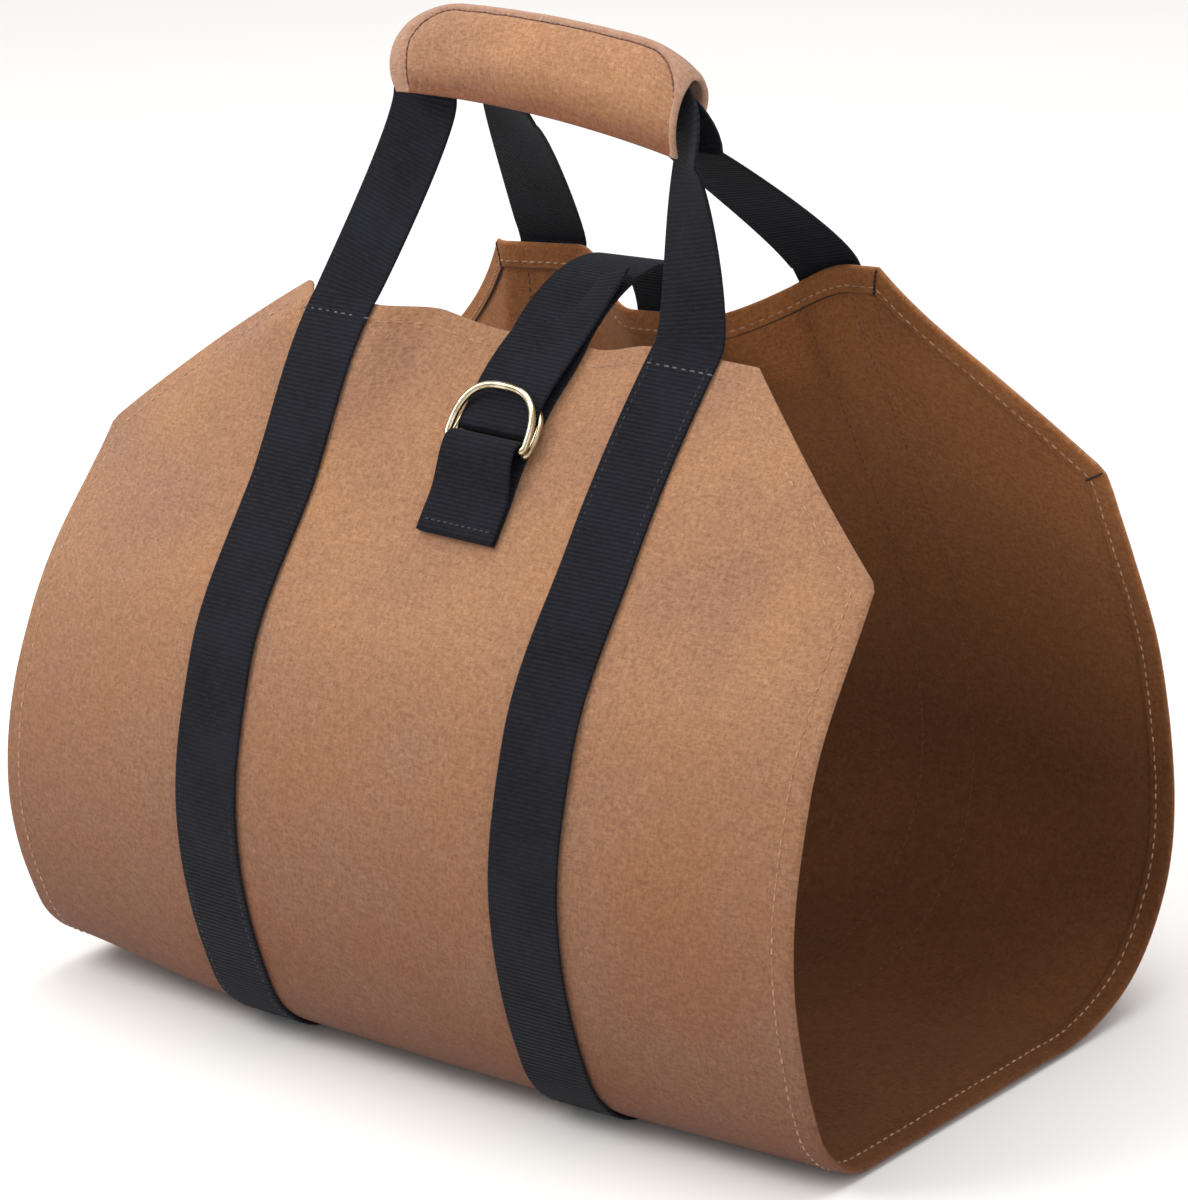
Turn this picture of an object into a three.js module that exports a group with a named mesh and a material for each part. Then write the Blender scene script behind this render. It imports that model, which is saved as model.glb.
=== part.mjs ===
// Canvas log carrier: a waxed canvas sling with two webbing loops, a handle wrap and a double ring closure.
// Millimetres, +Z up. X runs along the carrier, -Y is the front, and the base rests on z = 0.
import * as THREE from 'three';

// Canvas sheet
const sheetWidth = 490;
const topEdgeWidth = 280;
const cornerCutLength = 94;
const canvasThickness = 2;
const hemWidth = 14;
const hemThickness = 1.8;

// Sling section, taken where the webbing bands run
const frontDepth = 157;
const backDepth = 171;
const frontHeight = 349;
const backHeight = 352;

// How the loaded cloth draws in and sags
const endDrawIn = 12;
const shoulderDrawIn = 9;
const leftEndDrawIn = 6;
const leftShoulderDrawIn = 85;
const leftShoulderSag = 20;
const leftEndRise = 9;
const leftRiseStart = 125;
const leftRiseHeight = 140;
const frontTopDip = 7;
const frontTopPull = 16;
const backTopDip = 22;
const backTopPull = 30;
const backTopGather = 18;
const backTopShift = 4;
const backTopTilt = 24;
const backTiltReach = 400;
const backWingBend = 30;
const backWingStart = 132;
const backWingReach = 220;
const dipReach = 110;
const sectionTension = 1.05;

// Webbing bands and handle loops
const webbingWidth = 40;
const webbingThickness = 1.8;
const bandSpacing = 199;
const gripWidth = 26;
const gripOut = -3.6;
const gripRoom = 3.5;
const panelReach = 40;
const seatGap = 0.3;
const frontWrapReach = 45;
const backWrapReach = 40;

// Handle wrap over the two loops, shorter at the back
const wrapLength = 172;
const wrapHeight = 43.5;
const wrapDepth = 32;
const wrapPadding = 4.5;
const wrapCornerLength = 32;
const wrapCornerDrop = { left: 15, right: 14 };
const wrapCornerShare = 0.97;
const wrapEndBulge = { left: 5, right: 0 };
const wrapBackShift = 6;
const wrapGrowth = 0.06;
const wrapLean = 3;
const wrapDroop = 5;
const wrapTilt = 4.5;
const wrapTopHeight = 490;
const wrapCentreY = 13.5;
const loopBendRadius = 26;

// Where each loop's straps enter the wrap: place along it, distance toward the front and turn in degrees
const frontGrip = { leftX: -78, leftOut: 3, leftTwist: 0, rightX: 83, rightOut: 4, rightTwist: 38 };
const backGrip = { leftX: -35, leftOut: -8, leftTwist: 24, rightX: 74, rightOut: -10, rightTwist: 0 };

// Closure: tab, rings and strap
const closureWidth = 47;
const closurePinch = 43;
const closureX = 16;
const closureMargin = 4;
const closureSeatGap = 0.5;
const tabLength = 53;
const tabTopDistance = 60;
const ringWire = 3.6;
const ringInnerWidth = 44;
const ringInnerHeight = 25;
const ringCorner = 2.6;
const ringSquareness = 2.7;
const rollHeightShare = 0.42;
const pinchReach = 30;
const strapArchHeight = 368;
const strapSewnLength = 60;
const freeEndTravel = new THREE.Vector3(1, 66, 38);
const freeEndLeaving = 60;
const freeEndHeading = new THREE.Vector3(0, 42, 12);
const freeEndAcross = new THREE.Vector3(0.89, -0.3, 0.3);

const halfSheet = sheetWidth / 2;
const bandCentre = bandSpacing / 2;
const bandInner = bandCentre - webbingWidth / 2;
const bandOuter = bandCentre + webbingWidth / 2;
const rad = THREE.MathUtils.degToRad;
const smooth = (t) => THREE.MathUtils.smoothstep(t, 0, 1);

// Sling section from the front top edge, down, along the base and up to the back top edge.
// depth: share of frontDepth or backDepth. height: share of frontHeight or backHeight.
// heading: travel direction in degrees, 0 toward the back and 90 up.
const sectionTable = [
  { station: 'front top edge', side: 'front', depth: 0.11, height: 1.0, heading: -137 },
  { station: 'front shoulder', side: 'front', depth: 0.55, height: 0.78, heading: -127 },
  { station: 'front waist', side: 'front', depth: 0.89, height: 0.555, heading: -109 },
  { station: 'front belly', side: 'front', depth: 1.0, height: 0.34, heading: -91 },
  { station: 'front foot', side: 'front', depth: 0.9, height: 0.09, heading: -70 },
  { station: 'base front', side: 'front', depth: 0.63, height: 0, heading: 0 },
  { station: 'base back', side: 'back', depth: 0.35, height: 0, heading: 0 },
  { station: 'back foot', side: 'back', depth: 0.9, height: 0.115, heading: 52 },
  { station: 'back belly', side: 'back', depth: 1.0, height: 0.3, heading: 93 },
  { station: 'back waist', side: 'back', depth: 0.895, height: 0.56, heading: 112 },
  { station: 'back shoulder', side: 'back', depth: 0.69, height: 0.8, heading: 107 },
  { station: 'back top edge', side: 'back', depth: 0.585, height: 1.0, heading: 96 },
];

const canvasLift = webbingThickness + seatGap;

// Share of the closure's pull at x: full under the strap, fading out at the bands
const pullFlat = closureWidth / 2 + closureMargin;
const leftPullReach = closureX + bandInner;
const rightPullReach = bandInner - closureX;
const backPullReach = bandOuter - closureX;
function closurePull(x, rightReach) {
  const reach = x < closureX ? leftPullReach : rightReach;
  return smooth((reach - Math.abs(x - closureX)) / (reach - pullFlat));
}

// Cubic stretch between two points, leaving and arriving along scaled directions
function cubicStretch(from, to, leaving, arriving, t) {
  const a = from.clone().multiplyScalar(2 * t ** 3 - 3 * t ** 2 + 1);
  a.addScaledVector(to, 3 * t ** 2 - 2 * t ** 3);
  a.addScaledVector(leaving, t ** 3 - 2 * t ** 2 + t);
  a.addScaledVector(arriving, t ** 3 - t ** 2);
  return a;
}

// Section point of a table row, x is depth and y is height
function stationPoint(row) {
  const front = row.side === 'front';
  const depth = front ? -row.depth * frontDepth : row.depth * backDepth;
  return new THREE.Vector2(depth, row.height * (front ? frontHeight : backHeight) + canvasLift);
}

function headingVector(degrees, reach) {
  return new THREE.Vector2(Math.cos(rad(degrees)), Math.sin(rad(degrees))).multiplyScalar(reach);
}

// Dense outline of the section with its running length along the cloth
function traceSection(stepsPerStretch) {
  const points = [];
  for (let i = 0; i + 1 < sectionTable.length; i += 1) {
    const from = stationPoint(sectionTable[i]);
    const to = stationPoint(sectionTable[i + 1]);
    const reach = from.distanceTo(to) * sectionTension;
    const last = i + 2 === sectionTable.length;
    for (let k = 0; k < stepsPerStretch + (last ? 1 : 0); k += 1) {
      const leaving = headingVector(sectionTable[i].heading, reach);
      const arriving = headingVector(sectionTable[i + 1].heading, reach);
      points.push(cubicStretch(from, to, leaving, arriving, k / stepsPerStretch));
    }
  }
  const lengths = [0];
  for (let i = 1; i < points.length; i += 1) {
    lengths.push(lengths[i - 1] + points[i].distanceTo(points[i - 1]));
  }
  return { points, lengths };
}

const section = traceSection(80);
const sheetLength = section.lengths[section.lengths.length - 1];

// Section point and outward direction at a length along the cloth
function sectionAt(s) {
  const { points, lengths } = section;
  const clamped = THREE.MathUtils.clamp(s, 0, sheetLength);
  let i = lengths.findIndex((length) => length > clamped);
  i = i < 1 ? lengths.length - 1 : i;
  const share = (clamped - lengths[i - 1]) / (lengths[i] - lengths[i - 1]);
  const point = points[i - 1].clone().lerp(points[i], share);
  const before = points[Math.max(i - 3, 0)];
  const after = points[Math.min(i + 2, points.length - 1)];
  const along = after.clone().sub(before).normalize();
  return { point, outward: new THREE.Vector2(along.y, -along.x) };
}

// Rows along the cloth, closer where it turns
function clothRows() {
  const turnLimit = rad(9);
  const lengthLimit = 24;
  const fixed = [0, hemWidth, hemWidth + 2, cornerCutLength, tabTopDistance + tabLength];
  const marks = [...fixed, ...fixed.slice(0, 4).map((s) => sheetLength - s), ...baseMarks()];
  marks.sort((a, b) => a - b);
  const rows = [];
  for (let i = 0; i + 1 < marks.length; i += 1) {
    const span = marks[i + 1] - marks[i];
    const turn = turnBetween(marks[i], marks[i + 1]);
    const parts = Math.max(1, Math.ceil(span / lengthLimit), Math.ceil(turn / turnLimit));
    for (let k = 0; k < parts; k += 1) rows.push(marks[i] + (span * k) / parts);
  }
  return [...rows, sheetLength];
}

// Lengths at which the flat base starts, has its middle and ends
function baseMarks() {
  const stretch = (section.points.length - 1) / (sectionTable.length - 1);
  const index = sectionTable.findIndex((row) => row.station === 'base front');
  const start = section.lengths[index * stretch];
  const end = section.lengths[(index + 1) * stretch];
  const corner = section.lengths[(index - 1) * stretch];
  const backCorner = section.lengths[(index + 3) * stretch];
  return [corner, start, (start + end) / 2, end, backCorner];
}

function turnBetween(from, to) {
  const steps = 12;
  let turn = 0;
  for (let k = 0; k < steps; k += 1) {
    const a = sectionAt(from + ((to - from) * k) / steps).outward;
    const b = sectionAt(from + ((to - from) * (k + 1)) / steps).outward;
    turn += Math.abs(Math.atan2(a.cross(b), a.dot(b)));
  }
  return turn;
}

const rowLengths = clothRows();
const baseMiddle = baseMarks()[2];

// Half width of the sheet at a length along it, narrower beside the cut corners
function halfWidthAt(s) {
  const fromEdge = Math.min(s, sheetLength - s);
  const share = Math.min(fromEdge / cornerCutLength, 1);
  return THREE.MathUtils.lerp(topEdgeWidth / 2, halfSheet, share);
}

// Share of the pull of the front loop's left strap, gone at the cut corner's edge and between the bands
function leftBandPull(x, s) {
  const fromCut = x + halfWidthAt(s);
  return smooth(fromCut / (20 + 0.4 * s)) * smooth((-x - bandInner + 30) / 30);
}

// Point on the loaded cloth: x across the sheet, s along it, offset outward from its outer face
function clothPoint(x, s, offset) {
  const { point, outward } = sectionAt(s);
  let y = point.x + outward.x * offset;
  let z = point.y + outward.y * offset;
  const inward = -THREE.MathUtils.clamp(point.x / frontDepth, -1, 1);
  const lift = Math.max(0, point.y / frontHeight);
  const share = (x / halfSheet) ** 2;
  if (x < 0 && inward > 0) {
    y += inward * (leftEndDrawIn * share + leftShoulderDrawIn * lift ** 3 * share ** 2);
    z -= leftShoulderSag * lift ** 3 * share ** 2;
  } else {
    y += inward * (endDrawIn + shoulderDrawIn * lift) * share;
  }
  const atLeftEnd = smooth((-x - leftRiseStart) / (halfSheet - leftRiseStart));
  z += leftEndRise * atLeftEnd * smooth(1 - point.y / leftRiseHeight);
  const middle = closurePull(x, rightPullReach);
  const nearFront = smooth(1 - s / dipReach);
  const nearBack = smooth(1 - (sheetLength - s) / dipReach);
  y -= frontTopPull * leftBandPull(x, s) * nearFront + backTopPull * middle * nearBack;
  z -= frontTopDip * nearFront * middle + backTopDip * nearBack * closurePull(x, backPullReach);
  z += (backTopTilt * smooth(1 - (sheetLength - s) / backTiltReach) * x) / topEdgeWidth;
  const wingFade = (backWingReach - sheetLength + s) / (backWingReach - cornerCutLength);
  const wing = Math.max(0, -x - backWingStart) * smooth(wingFade);
  y += wing * Math.sin(rad(backWingBend));
  let across = x * (1 - (backTopGather / (topEdgeWidth / 2)) * nearBack) + backTopShift * nearBack;
  across += wing * (1 - Math.cos(rad(backWingBend)));
  return new THREE.Vector3(across, y, z);
}

// Closed solid from two matching grids of points, lower[i][j] under upper[i][j]
function slabGeometry(lower, upper) {
  const rows = lower.length;
  const columns = lower[0].length;
  const positions = [];
  const index = [];
  [lower, upper].forEach((grid) => grid.forEach((row) => row.forEach((p) => positions.push(p.x, p.y, p.z))));
  const at = (side, i, j) => side * rows * columns + i * columns + j;
  const quad = (a, b, c, d) => index.push(a, b, c, a, c, d);
  for (let i = 0; i + 1 < rows; i += 1) {
    for (let j = 0; j + 1 < columns; j += 1) {
      quad(at(1, i, j), at(1, i, j + 1), at(1, i + 1, j + 1), at(1, i + 1, j));
      quad(at(0, i, j), at(0, i + 1, j), at(0, i + 1, j + 1), at(0, i, j + 1));
    }
    quad(at(0, i, 0), at(1, i, 0), at(1, i + 1, 0), at(0, i + 1, 0));
    const j = columns - 1;
    quad(at(0, i, j), at(0, i + 1, j), at(1, i + 1, j), at(1, i, j));
  }
  for (let j = 0; j + 1 < columns; j += 1) {
    quad(at(0, 0, j), at(0, 0, j + 1), at(1, 0, j + 1), at(1, 0, j));
    const i = rows - 1;
    quad(at(0, i, j), at(1, i, j), at(1, i, j + 1), at(0, i, j + 1));
  }
  const geometry = new THREE.BufferGeometry();
  geometry.setAttribute('position', new THREE.Float32BufferAttribute(positions, 3));
  geometry.setIndex(index);
  geometry.computeVertexNormals();
  return facingOut(geometry);
}

// The same geometry with its triangles turned so that the solid's volume is positive
function facingOut(geometry) {
  const p = geometry.attributes.position;
  const index = geometry.index.array;
  const corner = [new THREE.Vector3(), new THREE.Vector3(), new THREE.Vector3()];
  let volume = 0;
  for (let i = 0; i < index.length; i += 3) {
    corner.forEach((v, k) => v.fromBufferAttribute(p, index[i + k]));
    volume += corner[0].dot(corner[1].cross(corner[2]));
  }
  if (volume < 0) {
    for (let i = 0; i < index.length; i += 3) {
      [index[i], index[i + 1]] = [index[i + 1], index[i]];
    }
  }
  geometry.computeVertexNormals();
  return geometry;
}

// Band swept along stations that give its middle point, its direction across, its face direction and,
// where it is narrower, its width
function bandGeometry(stations, fullWidth, thickness) {
  const shares = [-0.5, 0, 0.5];
  const grid = (side) => stations.map((station) => {
    const { middle, across, face, width = fullWidth } = station;
    const lifted = middle.clone().addScaledVector(face, (side * thickness) / 2);
    return shares.map((share) => lifted.clone().addScaledVector(across, share * width));
  });
  return slabGeometry(grid(-1), grid(1));
}

function material(color, roughness, metalness = 0) {
  return new THREE.MeshStandardMaterial({ color, roughness, metalness });
}

const canvasMaterial = material('#b08465', 0.85);
const webbingMaterial = material('#24262d', 0.75);
const wrapMaterial = material('#b08465', 0.85);
const brassMaterial = material('#c9b27a', 0.3, 1);

const carrier = new THREE.Group();

function addPiece(name, geometry, pieceMaterial) {
  const mesh = new THREE.Mesh(geometry, pieceMaterial);
  mesh.name = name;
  carrier.add(mesh);
  return mesh;
}

// Columns across the sheet: hem, cloth to the bands, bands, middle with the closure's edges
function clothColumns(s) {
  const half = halfWidthAt(s);
  const slope = Math.min(s, sheetLength - s) < cornerCutLength
    ? Math.hypot(cornerCutLength, halfSheet - topEdgeWidth / 2) / cornerCutLength
    : 1;
  const hemInner = Math.max(half - hemWidth * Math.min(slope, 1.5), bandOuter + 4);
  const hemStep = hemInner - 2;
  const side = [half, hemInner, hemStep];
  [2 / 3, 1 / 3].forEach((share) => side.push(THREE.MathUtils.lerp(bandOuter, hemStep, share)));
  side.push(bandOuter, bandInner);
  const fadeShares = [0, 0.25, 0.5, 0.75];
  const fadeTo = (reach, share) => THREE.MathUtils.lerp(pullFlat, reach, share);
  const leftFade = fadeShares.map((share) => closureX - fadeTo(leftPullReach, share));
  const rightFade = fadeShares.map((share) => closureX + fadeTo(rightPullReach, share));
  const middle = [...leftFade.reverse(), closureX, ...rightFade];
  return [...side.map((x) => -x), ...middle, ...side.reverse()];
}

// The sheet, thicker where its border is folded in twice
function canvasBody() {
  const outer = [];
  const inner = [];
  rowLengths.forEach((s) => {
    const columns = clothColumns(s);
    const inTopHem = Math.min(s, sheetLength - s) <= hemWidth + 0.01;
    outer.push(columns.map((x) => clothPoint(x, s, 0)));
    inner.push(columns.map((x, j) => {
      const inSideHem = j < 2 || j > columns.length - 3;
      return clothPoint(x, s, -canvasThickness - (inTopHem || inSideHem ? hemThickness : 0));
    }));
  });
  return slabGeometry(inner, outer);
}

addPiece('canvas_body', canvasBody(), canvasMaterial);

// Frame of the handle wrap: up leans back, face looks to the front
const wrapUp = new THREE.Vector3(0, Math.sin(rad(wrapLean)), Math.cos(rad(wrapLean)));
const wrapFace = new THREE.Vector3(0, -Math.cos(rad(wrapLean)), Math.sin(rad(wrapLean)));
const loopHeight = wrapTopHeight - (wrapPadding + gripRoom + gripWidth / 2) * wrapUp.z;

// Point in the wrap's frame, drooping toward its ends: up and out are measured from the loops' middle line
function wrapPoint(x, up, out) {
  const share = x / (wrapLength / 2);
  const droop = wrapDroop * share ** 2 + wrapTilt * share;
  return new THREE.Vector3(x, wrapCentreY, loopHeight - droop)
    .addScaledVector(wrapUp, up)
    .addScaledVector(wrapFace, out);
}

// Stations of one band up a panel, from the middle of the base to the top edge
function panelStations(x, front) {
  const rows = rowLengths.filter((s) => (front ? s <= baseMiddle - 0.2 : s >= baseMiddle + 0.2));
  const start = baseMiddle + (front ? -0.5 : 0.5) * seatGap;
  const ordered = [start, ...(front ? rows.reverse() : rows)];
  const offset = seatGap + webbingThickness / 2;
  return ordered.map((s) => {
    const low = clothPoint(x - webbingWidth / 2, s, offset);
    const high = clothPoint(x + webbingWidth / 2, s, offset);
    const deeper = clothPoint(x, s, 0);
    const middle = low.clone().lerp(high, 0.5);
    const across = high.clone().sub(low).normalize();
    const face = clothPoint(x, s, 1).sub(deeper).normalize();
    const crowns = [-0.25, 0, 0.25].map((share) => {
      const risen = clothPoint(x + share * webbingWidth, s, offset);
      return risen.sub(middle).dot(face);
    });
    middle.addScaledVector(face, Math.max(...crowns, 0));
    return { middle, across, face };
  });
}

// Stations of the free strap between a panel's top edge and the wrap, turning most near the wrap.
// The front straps come up into the wrap, the back straps lean straight toward it.
function strapStations(panel, to, front, reach) {
  const from = panel.at(-1);
  const straight = to.middle.clone().sub(from.middle).normalize();
  const arriving = (front ? wrapUp.clone() : straight).multiplyScalar(reach);
  const leaving = leavingPanel(panel);
  const steps = 12;
  const stations = [];
  for (let k = 1; k < steps; k += 1) {
    const t = k / steps;
    const middle = cubicStretch(from.middle, to.middle, leaving, arriving, t);
    const ahead = cubicStretch(from.middle, to.middle, leaving, arriving, t + 0.01);
    const along = ahead.sub(middle).normalize();
    const across = from.across.clone().lerp(to.across, t ** 1.5);
    across.addScaledVector(along, -across.dot(along)).normalize();
    const face = across.clone().cross(along).multiplyScalar(front ? 1 : -1).normalize();
    stations.push({ middle, across, face });
  }
  return stations;
}

// Stations of a quarter turn inside the wrap, from a strap's entry at x to the level run
function gripTurn(x, side, twist, entryOut, levelOut) {
  const stations = [];
  const steps = 6;
  for (let k = 0; k <= steps; k += 1) {
    const share = k / steps;
    const angle = rad(90 * share);
    const reach = loopBendRadius * (1 - Math.cos(angle));
    const up = loopBendRadius * (Math.sin(angle) - 1);
    const across = new THREE.Vector3(Math.cos(angle), 0, 0).addScaledVector(wrapUp, side * Math.sin(angle));
    const along = new THREE.Vector3(-side * Math.sin(angle), 0, 0).addScaledVector(wrapUp, Math.cos(angle));
    const settled = smooth(1.5 * share);
    const turn = -rad(twist) * (1 - settled);
    stations.push({
      middle: wrapPoint(x - side * reach, up, THREE.MathUtils.lerp(entryOut, levelOut, settled)),
      across: across.applyAxisAngle(along, turn),
      face: wrapFace.clone().applyAxisAngle(along, turn),
      width: THREE.MathUtils.lerp(webbingWidth, gripWidth, settled),
    });
  }
  return stations;
}

// Stations through the wrap: up from the left strap, the level run, and down to the right strap
function loopStations(grip, out) {
  const left = gripTurn(grip.leftX, -1, grip.leftTwist, grip.leftOut, out);
  const right = gripTurn(grip.rightX, 1, grip.rightTwist, grip.rightOut, out);
  const runStart = grip.leftX + loopBendRadius;
  const runEnd = grip.rightX - loopBendRadius;
  const steps = 6;
  const level = [];
  for (let k = 1; k < steps; k += 1) {
    const x = THREE.MathUtils.lerp(runStart, runEnd, k / steps);
    const middle = wrapPoint(x, 0, out);
    level.push({ middle, across: wrapUp.clone().negate(), face: wrapFace, width: gripWidth });
  }
  const turned = right.reverse().map((station) => ({ ...station, across: station.across.clone().negate() }));
  return [...left, ...level, ...turned];
}

// One webbing loop: up the left of a panel, through the wrap and down the right
function webbingLoop(front) {
  const leftPanel = panelStations(-bandCentre, front);
  const rightPanel = panelStations(bandCentre, front);
  const faceSide = front ? 1 : -1;
  const grip = front ? frontGrip : backGrip;
  const loop = loopStations(grip, gripOut + (faceSide * (webbingThickness + seatGap)) / 2)
    .map((station) => ({ ...station, face: station.face.clone().multiplyScalar(faceSide) }));
  const reach = front ? frontWrapReach : backWrapReach;
  const left = strapStations(leftPanel, loop[0], front, reach);
  const end = loop.at(-1);
  const right = strapStations(rightPanel, { ...end, across: end.across.clone().negate() }, front, reach);
  const turned = [...rightPanel, ...right].reverse().map((station) => ({
    ...station,
    across: station.across.clone().negate(),
  }));
  return bandGeometry([...leftPanel, ...left, ...loop, ...turned], webbingWidth, webbingThickness);
}

function leavingPanel(stations) {
  return stations.at(-1).middle.clone().sub(stations.at(-2).middle).normalize().multiplyScalar(panelReach);
}

addPiece('front_webbing', webbingLoop(true), webbingMaterial);
addPiece('back_webbing', webbingLoop(false), webbingMaterial);

// Section of the wrap's outer face from its front lower edge over the top to its back lower edge.
// out: share of half the wrap's depth toward the front. up: share of its height above the front lower edge.
const wrapTable = [
  { place: 'front lower edge', out: 1.0, up: 0.0 },
  { place: 'lower face', out: 1.04, up: 0.2 },
  { place: 'face', out: 0.96, up: 0.43 },
  { place: 'upper face', out: 0.7, up: 0.68 },
  { place: 'front shoulder', out: 0.3, up: 0.88 },
  { place: 'crown', out: -0.22, up: 1.0 },
  { place: 'back shoulder', out: -0.75, up: 0.92 },
  { place: 'upper back', out: -1.05, up: 0.73 },
  { place: 'back', out: -1.1, up: 0.53 },
  { place: 'back lower edge', out: -0.98, up: 0.36 },
];

// Padded sleeve over both loops, open below and at both ends, with rounded upper corners
function handleWrap() {
  const outline = wrapTable.map((row) => new THREE.Vector2((row.out * wrapDepth) / 2, row.up * wrapHeight));
  const lowerEdge = gripWidth / 2 + gripRoom + wrapPadding - wrapHeight;
  const halfLength = wrapLength / 2;
  const cornerStart = halfLength - wrapCornerLength;
  const shares = [0, 0.35, 0.62, 0.8, 0.9, 0.96, 1];
  const cornerXs = shares.map((share) => cornerStart + wrapCornerLength * share);
  const columns = [...cornerXs.map((x) => -x).reverse(), -cornerStart / 2, 0, cornerStart / 2, ...cornerXs];
  const grid = (depth) => outline.map((point, i) => {
    const before = outline[Math.max(i - 1, 0)];
    const after = outline[Math.min(i + 1, outline.length - 1)];
    const along = after.clone().sub(before).normalize();
    const placed = point.clone().addScaledVector(new THREE.Vector2(-along.y, along.x), depth);
    return columns.map((x) => {
      const past = Math.max(Math.abs(x) - cornerStart, 0) / wrapCornerLength;
      const end = x < 0 ? 'left' : 'right';
      const drop = wrapCornerDrop[end] * (1 - Math.sqrt(1 - Math.min(past, wrapCornerShare) ** 2));
      const squeeze = 1 - drop / wrapHeight + (wrapGrowth * x) / halfLength;
      const round = i / (outline.length - 1);
      const bulge = wrapEndBulge[end] * past ** 2 * Math.sin(Math.PI * round) * Math.sign(x);
      return wrapPoint(x + bulge - wrapBackShift * round, lowerEdge + placed.y * squeeze, placed.x);
    });
  });
  return slabGeometry(grid(0), grid(wrapPadding));
}

addPiece('handle_wrap', handleWrap(), wrapMaterial);

// Band stations from middle points, directions across and widths, with faces worked out from the path
function pathStations(middles, acrosses, widths) {
  return middles.map((middle, i) => {
    const before = middles[Math.max(i - 1, 0)];
    const after = middles[Math.min(i + 1, middles.length - 1)];
    const along = after.clone().sub(before).normalize();
    const across = acrosses[i].clone().addScaledVector(along, -acrosses[i].dot(along)).normalize();
    return { middle, across, face: along.clone().cross(across).normalize(), width: widths[i] };
  });
}

// Width of the closure's webbing at a length along the cloth, drawn in where it passes the rings
function closureWidthAt(s) {
  const away = Math.abs(s - ringBarDistance + ringHeight / 2) - ringHeight / 2;
  return THREE.MathUtils.lerp(closurePinch, closureWidth, smooth(away / pinchReach));
}

// Direction across the closure at a length along the cloth
function closureAcross(s) {
  const half = closureWidth / 2;
  return clothPoint(closureX + half, s, 0).sub(clothPoint(closureX - half, s, 0)).normalize();
}

// Heights of the ring stack above the cloth, from the cloth up
const incomingOffset = closureSeatGap + webbingThickness / 2;
const lowerRingOffset = incomingOffset + webbingThickness / 2 + 2 * seatGap + ringWire / 2;
const returnOffset = lowerRingOffset + ringWire / 2 + 1.5 * seatGap + webbingThickness / 2;
const upperRingOffset = lowerRingOffset + ringWire + seatGap;
const foldCentre = (lowerRingOffset + upperRingOffset) / 2;
const foldRadius = foldCentre - seatGap - webbingThickness / 2;
const ringBarDistance = tabTopDistance + foldRadius + webbingThickness / 2;
const ringHeight = ringInnerHeight + ringWire;
const halfwayLift = returnOffset + webbingThickness / 2 + 2 * seatGap + ringWire / 2 - upperRingOffset;

// Webbing tab folded round both ring bars, sewn down at its lower end
function ringTab() {
  const lower = seatGap + webbingThickness / 2;
  const bottom = tabTopDistance + tabLength;
  const path = [];
  for (let k = 0; k <= 3; k += 1) {
    path.push([THREE.MathUtils.lerp(bottom, ringBarDistance, k / 3), lower]);
  }
  const turns = 8;
  for (let k = 1; k < turns; k += 1) {
    const angle = Math.PI * (k / turns);
    path.push([ringBarDistance - foldRadius * Math.sin(angle), foldCentre - foldRadius * Math.cos(angle)]);
  }
  const upper = lower + webbingThickness + seatGap;
  const slope = [1, 0.62, 0.3, 0.1, 0, 0];
  slope.forEach((share, k) => {
    const s = THREE.MathUtils.lerp(ringBarDistance, bottom, k / (slope.length - 1));
    path.push([s, THREE.MathUtils.lerp(upper, foldCentre + foldRadius, share)]);
  });
  const middles = path.map(([s, offset]) => clothPoint(closureX, s, offset));
  const acrosses = path.map(([s]) => closureAcross(s));
  const widths = path.map(([s]) => closureWidthAt(s));
  return bandGeometry(pathStations(middles, acrosses, widths), closureWidth, webbingThickness);
}

addPiece('ring_tab', ringTab(), webbingMaterial);

// D ring of round wire lying on the panel, with its bar in the tab's fold and its arch toward the top edge
function dRing(barOffset, lift) {
  const origin = clothPoint(closureX, ringBarDistance, 0);
  const across = closureAcross(ringBarDistance);
  const up = clothPoint(closureX, ringBarDistance - ringHeight, 0).sub(origin);
  up.addScaledVector(across, -up.dot(across)).normalize();
  const out = across.clone().cross(up).normalize();
  const half = (ringInnerWidth + ringWire) / 2;
  const corner = ringCorner;
  const outline = [];
  const archSteps = 20;
  const power = 2 / ringSquareness;
  for (let k = 0; k <= archSteps; k += 1) {
    const angle = (Math.PI * k) / archSteps;
    const x = half * Math.sign(Math.cos(angle)) * Math.abs(Math.cos(angle)) ** power;
    outline.push([x, corner + (ringHeight - corner) * Math.sin(angle) ** power]);
  }
  outline.push([-half + corner * 0.3, corner * 0.3], [-half + corner, 0]);
  outline.push([half - corner, 0], [half - corner * 0.3, corner * 0.3]);
  const centres = outline.map(([x, height]) => origin
    .clone()
    .addScaledVector(across, x)
    .addScaledVector(up, height)
    .addScaledVector(out, barOffset + (lift * height) / (ringHeight / 2)));
  return wireLoop(centres, out, ringWire / 2);
}

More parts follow.
